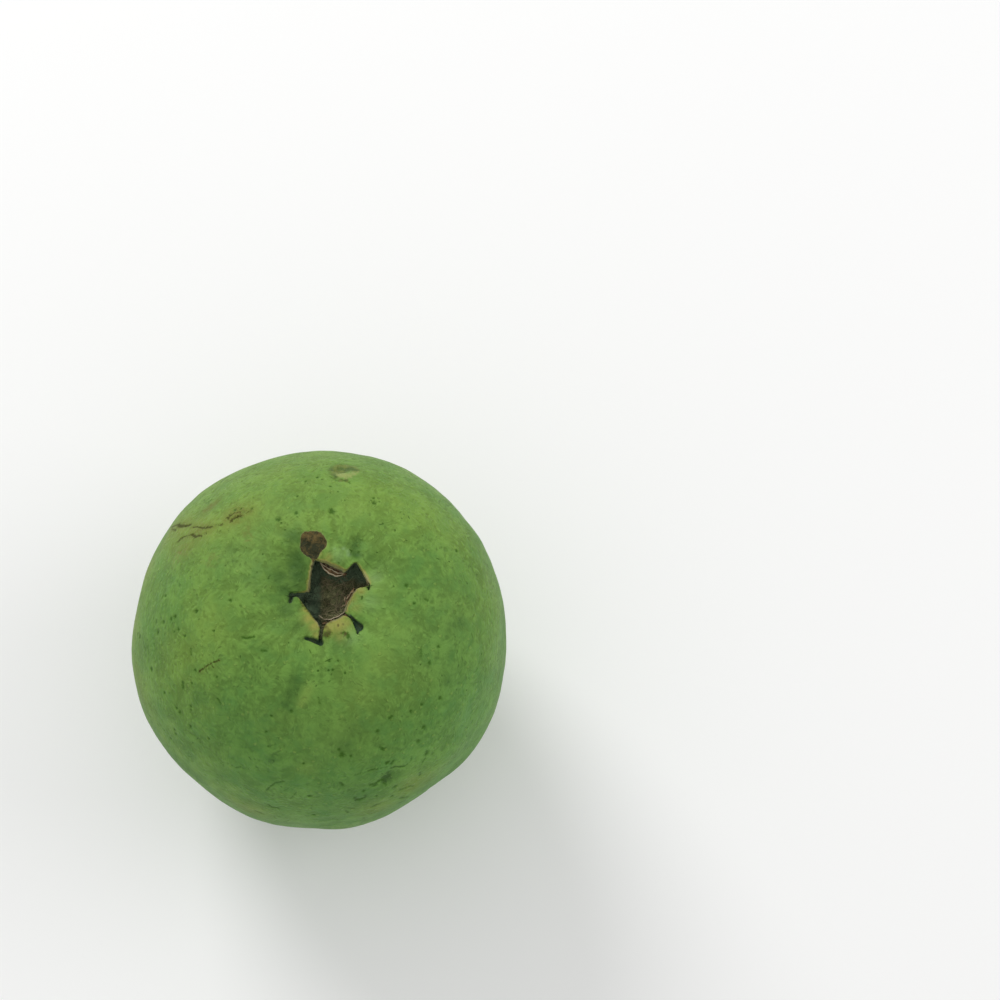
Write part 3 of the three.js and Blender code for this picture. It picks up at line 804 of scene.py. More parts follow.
def drawnLines(outward, lines):
    mask = np.zeros(len(outward))
    for line, width, strength in lines:
        mask = np.maximum(mask, strength * hill(distanceToLine(outward, line), width * markSpread))
    return mask


def drawnDots(outward, dots):
    mask = np.zeros(len(outward))
    for around, up, width in dots:
        mask = np.maximum(mask, hill(distanceToPlace(outward, (around, up)), width * markSpread))
    return mask


def raysFrom(flat):
    # soft streaks that run outward from the calyx
    radius = np.hypot(flat[:, 0], flat[:, 1])
    angle = np.arctan2(flat[:, 1], flat[:, 0])
    shown = (radius > 4.0) & (radius < 24.0)
    rays = np.zeros(len(flat))
    for i in np.flatnonzero(shown):
        turn, out = angle[i], radius[i]
        place = Vector((9 * math.cos(turn), 9 * math.sin(turn), out * 0.16))
        rays[i] = 0.6 * noise.noise(place) + 0.4 * noise.noise(place * 2.3)
    return rays * smoothStep(4.0, 7.0, radius) * smoothStep(24.0, 14.0, radius)


# where the masks of the calyx begin and end, in millimetres
maskEdges = {
    "wallDepth": 1.6,        # how far under the crown the tears and their bruises show
    "rimDepth": 0.9,
    "cupDepths": (0.4, 0.9),
    "shadeDepth": 0.4,
    "shadowFillDepth": 1.4,
    "shadeLeft": (-1.0, -2.2),
    "shadeTop": (4.4, 5.8),
    "shadowFillTop": (3.0, 4.2),
    "shadowFillEdge": (-2.2, -0.5),
    "stemHeight": 10.0,
    "stubFade": 0.5,
    "collarWidth": 1.3,
    "fleckWidth": 0.8,
}


def skinMasks(turned, points, outward):
    radius = np.hypot(turned[:, 0], turned[:, 1])
    under = underSkin(turned)
    onTop = turned[:, 2] > equatorHeight
    onCrown = onTop & (under < skinDepth)
    inCalyx = onTop & (radius < calyx["cupRadius"] + 0.2)
    flat = points[:, :2] - np.array([body["crownLean"], 0.0])
    fromEdge = np.hypot(flat[:, 0], flat[:, 1]) - tornEdge(np.arctan2(flat[:, 1], flat[:, 0]))
    holes = np.where(onCrown, holeMask(flat), 0.0)
    onWall = inCalyx & (under < maskEdges["wallDepth"])
    slits = np.where(onWall, slitMask(flat), 0.0)
    gaps = np.maximum(holes, slits)
    aroundMiddle = np.degrees(np.arctan2(flat[:, 1], flat[:, 0]))
    turns, strengths, widths = zip(*rimShowing)
    showing = np.interp(aroundMiddle, turns, strengths, period=360)
    wide = np.interp(aroundMiddle, turns, widths, period=360)
    edging = showing * hill(np.maximum(fromEdge - 0.05, 0.0), wide)
    leftSide = smoothStep(*maskEdges["shadeLeft"], flat[:, 0])
    shade = np.maximum(leftSide, smoothStep(*maskEdges["shadeTop"], flat[:, 1]))
    # painted light: a lighter green on the cup's shaded left and top walls near the torn edge,
    # lifting the shadow there
    shadowFill = np.maximum(leftSide, smoothStep(*maskEdges["shadowFillTop"], flat[:, 1]))
    shadowFill = shadowFill * smoothStep(*maskEdges["shadowFillEdge"], fromEdge)
    low = turned[:, 2] < maskEdges["stemHeight"]
    stub = smoothStep(body["stubRadius"] + maskEdges["stubFade"], body["stubRadius"], radius)
    flecks = [(line, maskEdges["fleckWidth"], power) for line, width, power in cracks]
    return {
        "cracks": drawnLines(outward, cracks),
        "flecked": drawnLines(outward, flecks),
        "worn": drawnLines(outward, wornStrokes),
        "streaks": drawnLines(outward, streaks),
        "pits": drawnDots(outward, pits),
        "cup": np.where(inCalyx, smoothStep(*maskEdges["cupDepths"], under), 0.0),
        "gap": gaps,
        "shade": np.where(inCalyx & (under > maskEdges["shadeDepth"]), shade, 0.0),
        "shadowFill": np.where(inCalyx & (under > maskEdges["shadowFillDepth"]), shadowFill, 0.0),
        "rim": np.where(inCalyx & (under < maskEdges["rimDepth"]), edging * (1 - gaps), 0.0),
        "scar": np.where(onCrown, scarShape(flat), 0.0),
        "stub": np.where(low, stub, 0.0),
        "collar": np.where(low, hill(radius - body["stubRadius"], maskEdges["collarWidth"]), 0.0),
        "crustAndShade": placesOnCrown(flat, crustAndShadePlaces),
        "bruise": np.where(onWall, placesOnCrown(flat, bruisePlaces), 0.0),
        "rays": np.where(onCrown, raysFrom(flat), 0.0),
        "yellow": np.where(onCrown, placesOnCrown(flat, yellowPlaces), 0.0),
        "basinShade": np.where(onCrown, placesOnCrown(flat, basinShadePlaces), 0.0),
        "shady": placesOnSkin(outward, shadyPlaces),
        "paintedLight": placesOnSkin(outward, paintedLightPlaces),
        "gleam": np.where(onCrown, placesOnCrown(flat, gleamPlaces), 0.0),
        "smudge": placesOnSkin(outward, smudgePlaces),
        "olive": placesOnSkin(outward, olivePlaces),
        "russet": placesOnSkin(outward, russetPlaces),
        "pale": placesOnSkin(outward, palePlaces),
        "tanned": placesOnSkin(outward, tannedPlaces),
    }


def makeSkin():
    piece = turnSkin()
    refineMarks(piece)
    mesh = piece.data
    turned = getPoints(mesh) / mm
    points = grown(turned)
    setPoints(mesh, points * mm)
    outward = fromMiddle(points)
    masks = skinMasks(turned, points, outward)
    height = reliefOf(points, outward, masks)
    points = points + getNormals(mesh) * height[:, None]
    points[:, 2] = np.maximum(points[:, 2], 0.0)
    setPoints(mesh, points * mm)
    for name, values in masks.items():
        writeMask(mesh, name, values)
    makeActive(piece)
    bpy.ops.object.shade_smooth()
    say(f"skin with {len(mesh.polygons)} faces")
    return piece


# shader tools

class Wire:
    # an output of a node: arithmetic on it adds Math nodes, and node() adds any other node

    def __init__(self, tree, socket):
        self.tree = tree
        self.socket = socket

    def node(self, kind, settings=None, sockets=None, output=0):
        made = self.tree.nodes.new(kind)
        for name, value in (settings or {}).items():
            setattr(made, name, value)
        for name, value in (sockets or {}).items():
            if isinstance(value, Wire):
                self.tree.links.new(value.socket, made.inputs[name])
            else:
                made.inputs[name].default_value = value
        return Wire(self.tree, made.outputs[output])

    def maths(self, operation, other, reflected=False):
        first, second = (other, self) if reflected else (self, other)
        return self.node("ShaderNodeMath", {"operation": operation}, {0: first, 1: second})

    def __add__(self, other):
        return self.maths("ADD", other)

    def __sub__(self, other):
        return self.maths("SUBTRACT", other)

    def __rsub__(self, other):
        return self.maths("SUBTRACT", other, reflected=True)

    def __mul__(self, other):
        return self.maths("MULTIPLY", other)

    __radd__ = __add__
    __rmul__ = __mul__

    def between(self, low, high):
        # 0 at low and below, 1 at high and above
        ends = {"Value": self, "From Min": low, "From Max": high}
        return self.node("ShaderNodeMapRange", {"clamp": True}, ends)

    def smooth(self, low, high):
        ends = {"Value": self, "From Min": low, "From Max": high}
        return self.node("ShaderNodeMapRange", {"interpolation_type": "SMOOTHSTEP"}, ends)

    def tint(self, low, high):
        # a colour: low where this value is 0, high where it is 1
        return mixColour(self, low, high)

    def frayed(self, noise, amount):
        # a mask with an uneven edge, and nothing where the mask is nothing
        return self + (noise - 0.5) * self.between(0.0, 0.25) * amount

    def mask(self, name):
        return self.node("ShaderNodeAttribute", {"attribute_name": name}, output="Fac")

    def grain(self, size, detail=2.0, roughness=0.5, distortion=0.0):
        sockets = {
            "Vector": self, "Scale": 1.0 / (size * mm), "Detail": detail,
            "Roughness": roughness, "Distortion": distortion,
        }
        return self.node("ShaderNodeTexNoise", None, sockets)

    def cells(self, size, output="Distance"):
        sockets = {"Vector": self, "Scale": 1.0 / (size * mm)}
        return self.node("ShaderNodeTexVoronoi", None, sockets, output)

    def vector(self, operation, other, output=0):
        sockets = {0: self, 1: other}
        return self.node("ShaderNodeVectorMath", {"operation": operation}, sockets, output)

    def warped(self, size, amount):
        # the same place moved about by up to the amount, over the size
        sockets = {"Vector": self, "Scale": 1.0 / (size * mm), "Detail": 1.0}
        swirl = self.node("ShaderNodeTexNoise", None, sockets, "Color")
        shift = swirl.vector("SUBTRACT", (0.5, 0.5, 0.5)).vector("MULTIPLY", (amount * mm,) * 3)
        return self.vector("ADD", shift)


# sockets of a Mix node that mixes colours
mixSockets = {"factor": 0, "low": 6, "high": 7, "result": 2}


def mixColour(factor, low, high):
    sockets = {mixSockets["factor"]: factor}
    for name, value in (("low", low), ("high", high)):
        sockets[mixSockets[name]] = value if isinstance(value, Wire) else (*value, 1.0)
    settings = {"data_type": "RGBA", "clamp_factor": True}
    return factor.node("ShaderNodeMix", settings, sockets, mixSockets["result"])


def newMaterial(name):
    material = bpy.data.materials.new(name)
    material.use_nodes = True
    tree = material.node_tree
    shader = tree.nodes["Principled BSDF"]
    corner = Wire(tree, None)
    place = corner.node("ShaderNodeTexCoord", output="Object")
    return material, shader, place


def feed(shader, sockets):
    tree = shader.id_data
    for name, value in sockets.items():
        if isinstance(value, Wire):
            tree.links.new(value.socket, shader.inputs[name])
        else:
            shader.inputs[name].default_value = value


skinLook = {
    "deepGreen": (0.080, 0.162, 0.028),
    "paleGreen": (0.168, 0.328, 0.062),
    "litSideGreen": (0.205, 0.308, 0.044),
    "shadedSideGreen": (0.076, 0.212, 0.038),
    "coolGreen": (0.078, 0.215, 0.048),
    "basinShadeGreen": (0.034, 0.094, 0.016),
    "paleSpeckAndLitGreen": (0.235, 0.370, 0.070),
    "gleamGreen": (0.270, 0.430, 0.190),
    "pitGreen": (0.030, 0.096, 0.001),
    "smudgeGreen": (0.030, 0.082, 0.010),
    "crackBrown": (0.046, 0.052, 0.003),
    "russet": (0.190, 0.150, 0.040),
    "olive": (0.205, 0.235, 0.034),
    "worn": (0.125, 0.150, 0.022),
    "rimTan": (0.268, 0.270, 0.125),
    "rimBrown": (0.110, 0.075, 0.030),
    "bruise": (0.085, 0.078, 0.020),
    "lobeYellow": (0.300, 0.290, 0.066),
    "cupBrown": (0.096, 0.112, 0.046),
    "cupTan": (0.340, 0.335, 0.170),
    "cupShade": (0.066, 0.124, 0.076),
    "shadowFill": (0.200, 0.290, 0.170),
    "gapShadowDark": (0.036, 0.078, 0.042),
    "gapShadowBrown": (0.062, 0.088, 0.040),
    "crustDark": (0.034, 0.038, 0.017),
    "crustBrown": (0.145, 0.105, 0.036),
    "crustPale": (0.260, 0.270, 0.110),
    "paleScar": (0.280, 0.330, 0.100),
    "tanDark": (0.062, 0.108, 0.017),
    "tan": (0.148, 0.186, 0.038),
    "stubBrown": (0.210, 0.155, 0.080),
    "stubDark": (0.062, 0.046, 0.026),
    "collar": (0.105, 0.100, 0.026),
    "roughness": 0.58,
    "specular": 0.14,
    "bump": 0.9,
}


def specksOn(place, size, reach, shown):
    # a speck in the cells whose own random value is above shown
    chosen = place.cells(size, "Color").maths("GREATER_THAN", shown)
    return place.cells(size).smooth(reach, reach * 0.5) * chosen


def blobsOn(place, size):
    # soft blobs, each a little lighter or darker than the skin
    return place.cells(size).smooth(0.5, 0.12) * (place.cells(size, "Color") - 0.5)


def peelColour(place, look):
    broad = place.grain(22, 2.0)
    patches = place.grain(5.0, 3.0, 0.55, 0.5).between(0.34, 0.66)
    mottle = place.grain(1.3, 3.0, 0.6, 0.6).between(0.34, 0.66)
    bent = place.warped(5.0, 7.0)
    fine = bent.vector("MULTIPLY", (1.0, 0.4, 0.9)).grain(0.5, 3.0, 0.6).between(0.3, 0.7)
    bands = place.vector("MULTIPLY", (0.12, 0.12, 1.0)).grain(1.6, 2.0).between(0.3, 0.7)
    onSides = place.node("ShaderNodeSeparateXYZ", None, {"Vector": place}, "Z")
    onSides = onSides.smooth(62 * mm, 40 * mm)
    streaky = mottle + (bands - mottle) * onSides * 0.7
    blobs = blobsOn(place.warped(1.2, 0.9), 1.15)
    blobs = blobs + blobsOn(bent.vector("MULTIPLY", (1.0, 0.55, 1.0)), 0.8)
    # painted light and shade: lighter and yellower toward the top and far side, where the key
    # light falls, darker on the other side, broken up by a broad noise
    across = place.vector("DOT_PRODUCT", (-4.0, 13.0, 6.0), "Value")
    litSide = (across + broad * 2.0 - 1.0).smooth(-0.5, 1.2)
    close = (fine - 0.5) * 0.32 + blobs * 1.3
    tone = patches * 0.36 + streaky * 0.32 + 0.16 + place.mask("rays") * 0.6
    tone = tone + close * (litSide * 0.5 + 0.7)
    colour = tone.between(0.26, 0.74).tint(look["deepGreen"], look["paleGreen"])
    cool = place.vector("ADD", (0.05, 0.02, 0.0)).grain(3.6, 3.0, 0.6).smooth(0.47, 0.66)
    colour = (cool * 0.55).tint(colour, look["coolGreen"])
    colour = (litSide * 0.5).tint(colour, look["litSideGreen"])
    colour = ((1 - litSide) * 0.5).tint(colour, look["shadedSideGreen"])
    return colour, tone


def peelMarks(place):
    # small dark specks and dashes, and lighter specks
    clusters = place.grain(7.0, 2.0).smooth(0.42, 0.6)
    bent = place.warped(7.0, 9.0)
    dashes = specksOn(bent.vector("MULTIPLY", (1.0, 0.32, 1.0)), 1.5, 0.13, 0.62)
    others = specksOn(bent.vector("MULTIPLY", (0.32, 1.0, 0.8)), 1.7, 0.12, 0.66)
    dots = specksOn(place.warped(0.5, 0.3), 2.0, 0.12, 0.5)
    dark = dashes.maths("MAXIMUM", others).maths("MAXIMUM", dots)
    light = specksOn(place.warped(0.6, 0.5), 1.5, 0.24, 0.5)
    return dark * (clusters * 0.7 + 0.3), light


# Soft washes of painted light and shade, in the order in which they go on: mask, colour and
# strength, then how much of it follows the mottle and how much is even.
washes = [
    ("gleam", "gleamGreen", 0.6, 0.8, 0.5), ("shady", "basinShadeGreen", 0.75, 0.8, 0.5),
    ("paintedLight", "paleSpeckAndLitGreen", 0.8, 0.0, 1.0), ("basinShade", "basinShadeGreen", 0.85, 0.3, 0.85),
]


def skinMaterial():
    look = skinLook
    material, shader, place = newMaterial("guavaPeel")
    colour, tone = peelColour(place, look)
    wander = place.grain(0.8, 3.0, 0.65)
    tiny = place.grain(0.35, 2.0, 0.6)
    fibres = place.grain(0.45, 3.0, 0.7, 1.0)
    dark, light = peelMarks(place)
    # pale specks of the skin; the same green serves the painted light among the washes
    colour = (light * 0.35).tint(colour, look["paleSpeckAndLitGreen"])
    for name, paint, strength, uneven, even in washes:
        wash = place.mask(name) * (wander * uneven + even) * strength
        colour = wash.tint(colour, look[paint])
    colour = (place.mask("yellow").frayed(wander, 0.6) * 0.85).tint(colour, look["lobeYellow"])
    colour = (place.mask("olive") * (wander * 0.9 + 0.3) * 0.8).tint(colour, look["olive"])
    russet = place.mask("russet") * wander.smooth(0.42, 0.6)
    colour = (russet * 0.7).tint(colour, look["russet"])
    worn = place.mask("worn") * (wander + 0.4)
    colour = (worn * 0.8).tint(colour, look["worn"])
    colour = (dark * 0.7).tint(colour, look["pitGreen"])
    smudge = place.mask("smudge").frayed(tiny * 0.5 + wander * 0.5, 2.4).smooth(0.2, 0.8)
    colour = (smudge * 0.8).tint(colour, look["smudgeGreen"])
    drawn = (place.mask("pits") + place.mask("streaks")).frayed(tiny, 1.3).smooth(0.05, 0.95)
    colour = (drawn * 0.85).tint(colour, look["pitGreen"])
    flecks = (wander + place.mask("flecked") * 0.1).smooth(0.58, 0.7)
    colour = (flecks * place.mask("flecked") * 0.45).tint(colour, look["worn"])
    cracked = place.mask("cracks").frayed(tiny, 2.2).smooth(0.1, 0.85)
    colour = (cracked * 0.9).tint(colour, look["crackBrown"])
    tanned = (place.mask("tanned") * 1.2).frayed(wander, 0.8).smooth(0.15, 0.85)
    barky = place.grain(1.6, 2.0).between(0.42, 0.6).tint(look["tanDark"], look["tan"])
    colour = (tanned * 0.85).tint(colour, barky)
    pale = (place.mask("pale") * 1.1).frayed(wander, 1.3).smooth(0.2, 1.0)
    colour = (pale * 0.85).tint(colour, look["paleScar"])
    rim = place.mask("rim").frayed(wander, 0.6)
    colour = (rim.smooth(0.12, 0.6) * 0.85).tint(colour, look["lobeYellow"])
    colour = (rim.smooth(0.45, 0.8) * 0.9).tint(colour, look["rimTan"])
    colour = ((rim - tiny * 0.5 + 0.25).smooth(0.75, 1.0) * 0.8).tint(colour, look["rimBrown"])
    scar = place.mask("scar").frayed(wander * 0.5 + tiny * 0.5, 1.6)
    colour = (scar.smooth(0.05, 0.35) * 0.5).tint(colour, look["crustPale"])
    flakes = place.grain(1.5, 4.0, 0.7, 0.5) * 0.75 + tiny * 0.25
    crustAndShade = flakes.between(0.38, 0.58) - place.mask("crustAndShade") * 0.7
    crustAndShade = crustAndShade.tint(look["crustDark"], look["crustBrown"])
    scarred = scar.smooth(0.4, 0.62)
    colour = scarred.tint(colour, crustAndShade)
    dry = fibres.between(0.36, 0.66).tint(look["cupBrown"], look["cupTan"])
    dry = (place.mask("shade") * 0.85).tint(dry, look["cupShade"])
    # painted light in the cup's shadow, near the walls
    dry = (place.mask("shadowFill") * 0.9).tint(dry, look["shadowFill"])
    cup = place.mask("cup")
    colour = cup.tint(colour, dry)
    # painted shade: near-black green and dark brown in the holes and slits of the tears
    gaps = wander.between(0.4, 0.62).tint(look["gapShadowDark"], look["gapShadowBrown"])
    colour = (place.mask("gap") * 1.6).tint(colour, gaps)
    bruise = place.mask("bruise").frayed(wander, 0.9).smooth(0.3, 0.9)
    colour = (bruise * 0.85).tint(colour, look["bruise"])
    collar = place.mask("collar").frayed(wander, 1.6).smooth(0.15, 0.9)
    colour = (collar * 0.75).tint(colour, look["collar"])
    stub = place.mask("stub")
    bark = (fibres * 0.5 + tiny * 0.5).between(0.38, 0.6).tint(look["stubDark"], look["stubBrown"])
    colour = stub.tint(colour, bark)
    gloss = (cup + scarred + stub + cracked * 0.5) * 0.25 + look["roughness"] - tone * 0.08
    height = tone * 0.5 - dark * 0.35 + light * 0.25
    height = height + (cup + stub) * fibres * 1.3 + scarred * flakes * 2.0
    bumped = place.node("ShaderNodeBump", None, {
        "Strength": look["bump"], "Distance": 0.4 * mm, "Height": height,
    })
    feed(shader, {
        "Base Color": colour,
        "Roughness": gloss,
        "Normal": bumped,
        "Specular IOR Level": look["specular"],
    })
    return material


# the dry threads and papery edges in the cup of the calyx

threads = {
    "count": 90,
    "radius": 0.075,     # mm
    "sides": 5,
    "stretches": 8,
    "shortest": 1.6,
    "longest": 3.8,
    "ringWidth": 0.9,    # how wide the ring of the disc is where a thread lies over it
    "nearest": 0.8,      # where in the cup the threads lie
    "furthest": 6.2,
    "usual": 3.7,
    "turnsBack": 7.0,
    "overFloor": 0.12,
    "taper": 0.55,
    "seed": 11,
}


def straightThread():
    # one thread along X, a millimetre long for each stretch
    deselectAll()
    bpy.ops.mesh.primitive_circle_add(
        vertices=threads["sides"], radius=threads["radius"] * mm, fill_type="NGON",
        rotation=(0, math.pi / 2, 0),
    )
    piece = bpy.context.object
    piece.name = piece.data.name = "stamenThread"
    bpy.ops.object.transform_apply(location=False, rotation=True, scale=False)
    bpy.ops.object.mode_set(mode="EDIT")
    bpy.ops.mesh.select_all(action="SELECT")
    for stretch in range(threads["stretches"]):
        bpy.ops.mesh.extrude_region_move(TRANSFORM_OT_translate={"value": (mm, 0, 0)})
    bpy.ops.mesh.select_all(action="SELECT")
    bpy.ops.mesh.normals_make_consistent(inside=False)
    bpy.ops.object.mode_set(mode="OBJECT")
    bpy.ops.object.shade_smooth()
    return piece


def threadPath(dice):
    # lies on the floor of the cup and curls as it dries
    around = dice.uniform(0, 2 * math.pi)
    out = dice.triangular(threads["nearest"], threads["furthest"], threads["usual"])
    x, y = out * math.cos(around), out * math.sin(around)
    heading = around + dice.choice((1.6, -1.6, 2.6, 3.4)) + dice.uniform(-0.5, 0.5)
    curl = dice.uniform(-1.1, 1.1)
    length = dice.uniform(threads["shortest"], threads["longest"])
    lift = dice.uniform(0.05, 0.75)
    step = length / threads["stretches"]
    path = []
    for stop in range(threads["stretches"] + 1):
        share = stop / threads["stretches"]
        fromRing = math.hypot(x, y) - calyx["discRadius"]
        onDisc = calyx["discHeight"] * math.exp(-(fromRing / threads["ringWidth"]) ** 2)
        arch = lift * math.sin(math.pi * min(1.0, share * 1.15))
        height = floorHeight + threads["overFloor"] + onDisc + arch
        path.append(Vector((x + body["crownLean"] * 0.96, y, height)))
        x += step * math.cos(heading)
        y += step * math.sin(heading)
        heading += (curl + dice.uniform(-0.6, 0.6)) / threads["stretches"] * 2
        if math.hypot(x, y) > threads["turnsBack"]:
            heading = math.atan2(-y, -x) + dice.uniform(-0.8, 0.8)
    return path


def bendThread(mesh, path):
    last = len(path) - 1
    for vertex in mesh.vertices:
        stop = min(last, max(0, round(vertex.co.x / mm)))
        ahead = path[min(last, stop + 1)] - path[max(0, stop - 1)]
        side = ahead.cross(Vector((0, 0, 1))).normalized()
        over = side.cross(ahead).normalized()
        taper = 1.0 - threads["taper"] * stop / last
        vertex.co = (path[stop] * mm + side * vertex.co.y * taper + over * vertex.co.z * taper)


def makeThreads():
    dice = random.Random(threads["seed"])
    model = straightThread()
    copies = []
    for number in range(threads["count"]):
        made = bpy.data.objects.new("stamenThread", model.data.copy())
        bpy.context.scene.collection.objects.link(made)
        bendThread(made.data, threadPath(dice))
        copies.append(made)
    bpy.data.objects.remove(model)
    strands = joined(copies, "stamenThreads")
    fromLeft = getPoints(strands.data)[:, 0] / mm - body["crownLean"]
    writeMask(strands.data, "shade", smoothStep(*maskEdges["shadeLeft"], fromLeft))
    return strands


def joined(things, name):
    makeActive(things[0])
    for thing in things:
        thing.select_set(True)
    bpy.ops.object.join()
    piece = bpy.context.object
    piece.name = piece.data.name = name
    return piece


# Papery strips: a line in millimetres from the middle of the calyx, the height over the floor of
# the cup, the width, how steeply it stands in degrees and how pale it is.
paper = {
    "thickness": 0.07,
    "cuts": 36,
    "rows": 4,
    "seed": 5,
    "strips": [
        ([(-1.6, 6.6), (-0.4, 5.3), (0.7, 4.7), (1.8, 4.35), (3.2, 4.3)], 3.6, 1.0, 12, 0.1),
        ([(-1.6, 6.55), (-1.15, 5.75), (-0.57, 5.0), (0.16, 4.3), (1.0, 3.92), (1.6, 3.84),
          (2.6, 4.1)], 3.85, 0.24, 40, 1.0),
        ([(-1.5, 6.4), (-0.3, 5.35), (0.7, 4.8), (1.6, 4.4), (2.7, 4.2)], 4.05, 0.22, 60, 0.75),
        ([(-1.3, 6.3), (0.0, 5.5), (1.3, 4.95), (2.5, 4.4)], 4.2, 0.3, 75, 0.35),
        ([(4.6, 1.6), (4.2, 0.7), (3.7, 0.05), (3.5, -0.8), (3.3, -1.7)], 3.7, 0.6, 20, 0.2),
        ([(4.3, 0.9), (3.7, 0.3), (3.35, -0.5)], 3.95, 0.25, 60, 0.6),
        ([(3.4, 0.9), (2.9, 0.2), (3.0, -0.8), (2.4, -1.5)], 2.2, 0.35, 50, 0.4),
        ([(3.9, -2.4), (2.4, -3.9), (0.6, -4.5), (-0.9, -4.6)], 3.3, 0.7, 20, 0.15),
    ],
    "ring": (3.15, 0.6, 0.5, 55, 0.85),     # radius and the same four values
}


def smoothLine(corners, count):
    # points evenly along a smooth curve through the corners
    ends = [corners[0]] + list(corners) + [corners[-1]]
    line = []
    for i in range(count + 1):
        spot = i / count * (len(corners) - 1)
        k = min(int(spot), len(corners) - 2)
        t = spot - k
        a, b, c, d = [np.array(ends[k + j]) for j in range(4)]
        line.append(0.5 * (2 * b + (c - a) * t + (2 * a - 5 * b + 4 * c - d) * t * t
                           + (3 * b - a - 3 * c + d) * t ** 3))
    return line


def paperStrip(corners, height, width, tilt, pale, dice):
    deselectAll()
    cuts = paper["cuts"]
    bpy.ops.mesh.primitive_grid_add(x_subdivisions=cuts, y_subdivisions=paper["rows"], size=1.0)
    piece = bpy.context.object
    line = smoothLine(corners, cuts)
    lean = math.radians(tilt)
    waves = [dice.uniform(0, 6.28) for _ in range(4)]
    for vertex in piece.data.vertices:
        along, across = vertex.co.x + 0.5, vertex.co.y
        here = min(cuts, round(along * cuts))
        ahead = line[min(here + 1, cuts)] - line[max(here - 1, 0)]
        side = np.array([-ahead[1], ahead[0]]) / max(1e-6, np.hypot(*ahead))
        if side @ line[here] > 0:
            side = -side    # towards the middle of the cup
        wave = 0.07 * math.sin(11 * along + waves[0]) + 0.04 * math.sin(29 * along + waves[1])
        fade = math.sin(math.pi * min(max(along, 0.04), 0.96)) ** 0.4
        ragged = 1.0 + 0.35 * math.sin(37 * along + waves[2]) * math.sin(17 * along + waves[3])
        reach = across * width * fade * (ragged if across > 0 else 1.0)
        x, y = line[here] + side * (wave + reach * math.cos(lean))
        curl = 0.12 * width * (1 - 4 * across * across)
        z = height + wave - reach * math.sin(lean) + curl
        vertex.co = Vector((body["crownLean"] * 0.98 + x, y, floorHeight + z)) * mm
    solid = piece.modifiers.new("wall", "SOLIDIFY")
    solid.thickness = paper["thickness"] * mm
    solid.offset = 0.0
    makeActive(piece)
    bpy.ops.object.modifier_apply(modifier=solid.name)
    bpy.ops.object.shade_smooth()
    writeMask(piece.data, "paleness", np.full(len(piece.data.vertices), pale))
    return piece


def makePaper():
    dice = random.Random(paper["seed"])
    strips = [paperStrip(*strip, dice) for strip in paper["strips"]]
    radius, height, width, tilt, pale = paper["ring"]
    arcs = [math.radians(turn) for turn in range(-125, -15, 12)]
    ring = [(radius * math.cos(turn), radius * math.sin(turn)) for turn in arcs]
    strips.append(paperStrip(ring, height, width, tilt, pale, dice))
    return joined(strips, "paperyEdges")


dryLook = {
    "threadDark": (0.130, 0.120, 0.065),
    "threadTan": (0.420, 0.370, 0.215),
    "paperDark": (0.075, 0.052, 0.024),
    "paperRed": (0.230, 0.140, 0.065),
    "paperPale": (0.560, 0.480, 0.320),
}


def dryMaterial(name, low, high, size):
    material, shader, place = newMaterial(name)
    colour = place.grain(size, 3.0, 0.65).between(0.36, 0.64).tint(low, high)
    colour = (place.mask("shade") * 0.8).tint(colour, skinLook["cupShade"])
    finishDry(shader, place, colour)
    return material


def paperMaterial():
    look = dryLook
    material, shader, place = newMaterial("dryPaper")
    grain = place.grain(0.7, 3.0, 0.65)
    brown = grain.between(0.38, 0.62).tint(look["paperDark"], look["paperRed"])
    pale = (place.mask("paleness") + (grain - 0.5) * 0.9).smooth(0.15, 0.95)
    finishDry(shader, place, pale.tint(brown, look["paperPale"]))
    return material


def finishDry(shader, place, colour):
    ridges = place.grain(0.3, 2.0)
    bumped = place.node("ShaderNodeBump", None, {
        "Strength": 0.6, "Distance": 0.08 * mm, "Height": ridges,
    })
    feed(shader, {
        "Base Color": colour, "Roughness": 0.8, "Specular IOR Level": 0.2, "Normal": bumped,
    })


def dressCup():
    strands = makeThreads()
    strands.data.materials.append(
        dryMaterial("dryThread", dryLook["threadDark"], dryLook["threadTan"], 1.4))
    edges = makePaper()
    edges.data.materials.append(paperMaterial())
    for piece in (strands, edges):
        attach(piece, "root")


# floor, light and camera

studio = {
    "floorSize": 3.0,
    "floorColour": (0.93, 0.93, 0.925),
    "skyStrength": 0.68,
    "keyPlace": (-0.5, 0.88, 0.8),
    "keySize": 0.6,
    "keyPower": 6.8,
    "fillPlace": (0.95, 0.1, 0.6),
    "fillSize": 0.8,
    "fillPower": 2.4,
}

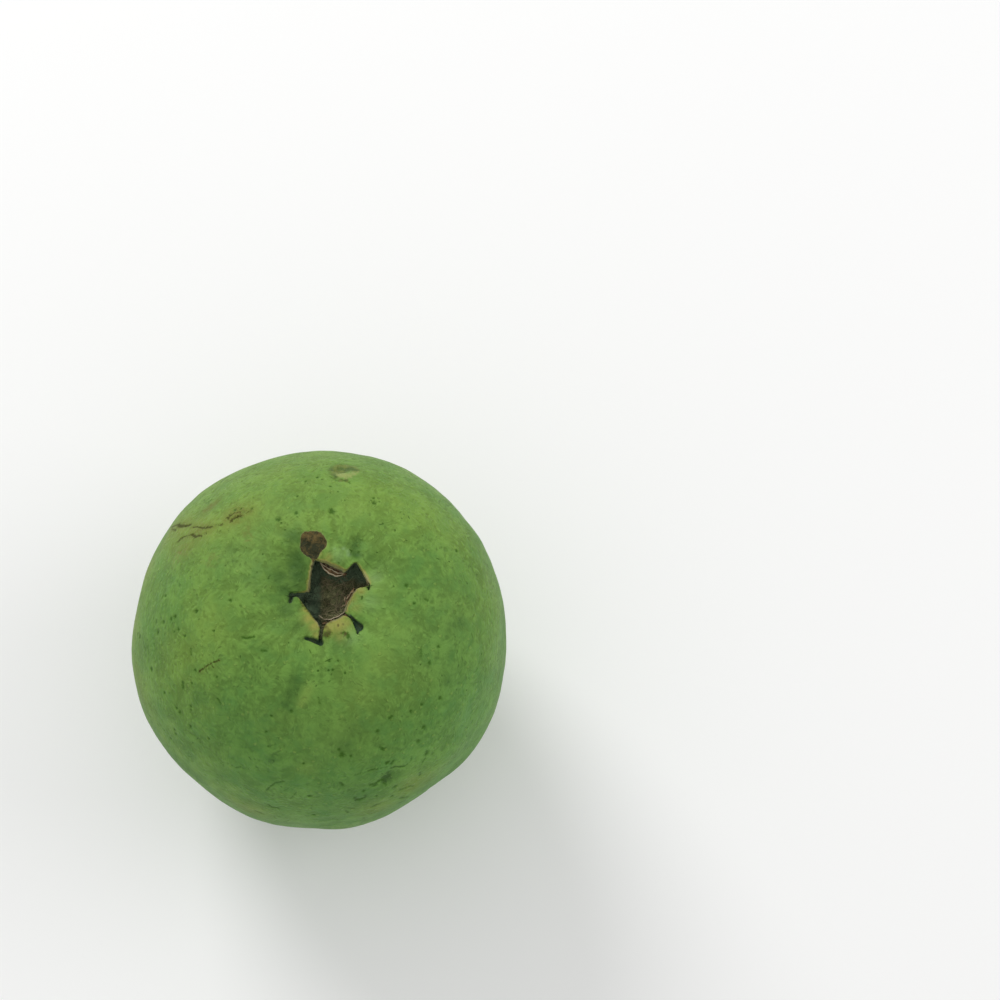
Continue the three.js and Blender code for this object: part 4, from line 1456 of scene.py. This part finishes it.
lens = {
    "focalLength": 85.0,
    "sensor": 36.0,
    "place": (33.86, -106.11, 469.14),    # mm
    "target": (33.86, 28.12, 36.0),
}


def makeFloor():
    deselectAll()
    bpy.ops.mesh.primitive_plane_add(size=studio["floorSize"], location=(0, 0, 0))
    floor = bpy.context.object
    floor.name = "studioFloor"
    material, shader, place = newMaterial("paleFloor")
    feed(shader, {"Base Color": (*studio["floorColour"], 1.0), "Roughness": 0.9,
                  "Specular IOR Level": 0.1})
    floor.data.materials.append(material)


def areaLight(name, place, size, power):
    lamp = bpy.data.lights.new(name, "AREA")
    lamp.shape = "DISK"
    lamp.size = size
    lamp.energy = power
    thing = bpy.data.objects.new(name, lamp)
    bpy.context.scene.collection.objects.link(thing)
    thing.location = place
    aim = Vector((0, 0, 0.035)) - Vector(place)
    thing.rotation_euler = aim.to_track_quat("-Z", "Y").to_euler()


def makeLights():
    areaLight("keyLight", studio["keyPlace"], studio["keySize"], studio["keyPower"])
    areaLight("fillLight", studio["fillPlace"], studio["fillSize"], studio["fillPower"])
    world = bpy.data.worlds.new("softRoom")
    world.use_nodes = True
    room = world.node_tree.nodes["Background"]
    room.inputs["Color"].default_value = (1.0, 1.0, 1.0, 1.0)
    room.inputs["Strength"].default_value = studio["skyStrength"]
    bpy.context.scene.world = world
    bpy.context.scene.view_settings.view_transform = "Standard"
    bpy.context.scene.view_settings.look = "None"


def makeCamera():
    data = bpy.data.cameras.new("camera")
    data.lens = lens["focalLength"]
    data.sensor_width = lens["sensor"]
    data.clip_start = 0.01
    camera = bpy.data.objects.new("camera", data)
    bpy.context.scene.collection.objects.link(camera)
    place, target = Vector(lens["place"]) * mm, Vector(lens["target"]) * mm
    camera.location = place
    camera.rotation_euler = (target - place).to_track_quat("-Z", "Y").to_euler()
    bpy.context.scene.camera = camera


def dressSkin():
    piece = makeSkin()
    piece.data.materials.append(skinMaterial())
    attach(piece, "root")
    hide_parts("guava")


makeFloor()
makeLights()
makeCamera()
say("stage is set")
dressSkin()
say("skin is dressed")
dressCup()
say("threads and papery edges are in the cup")
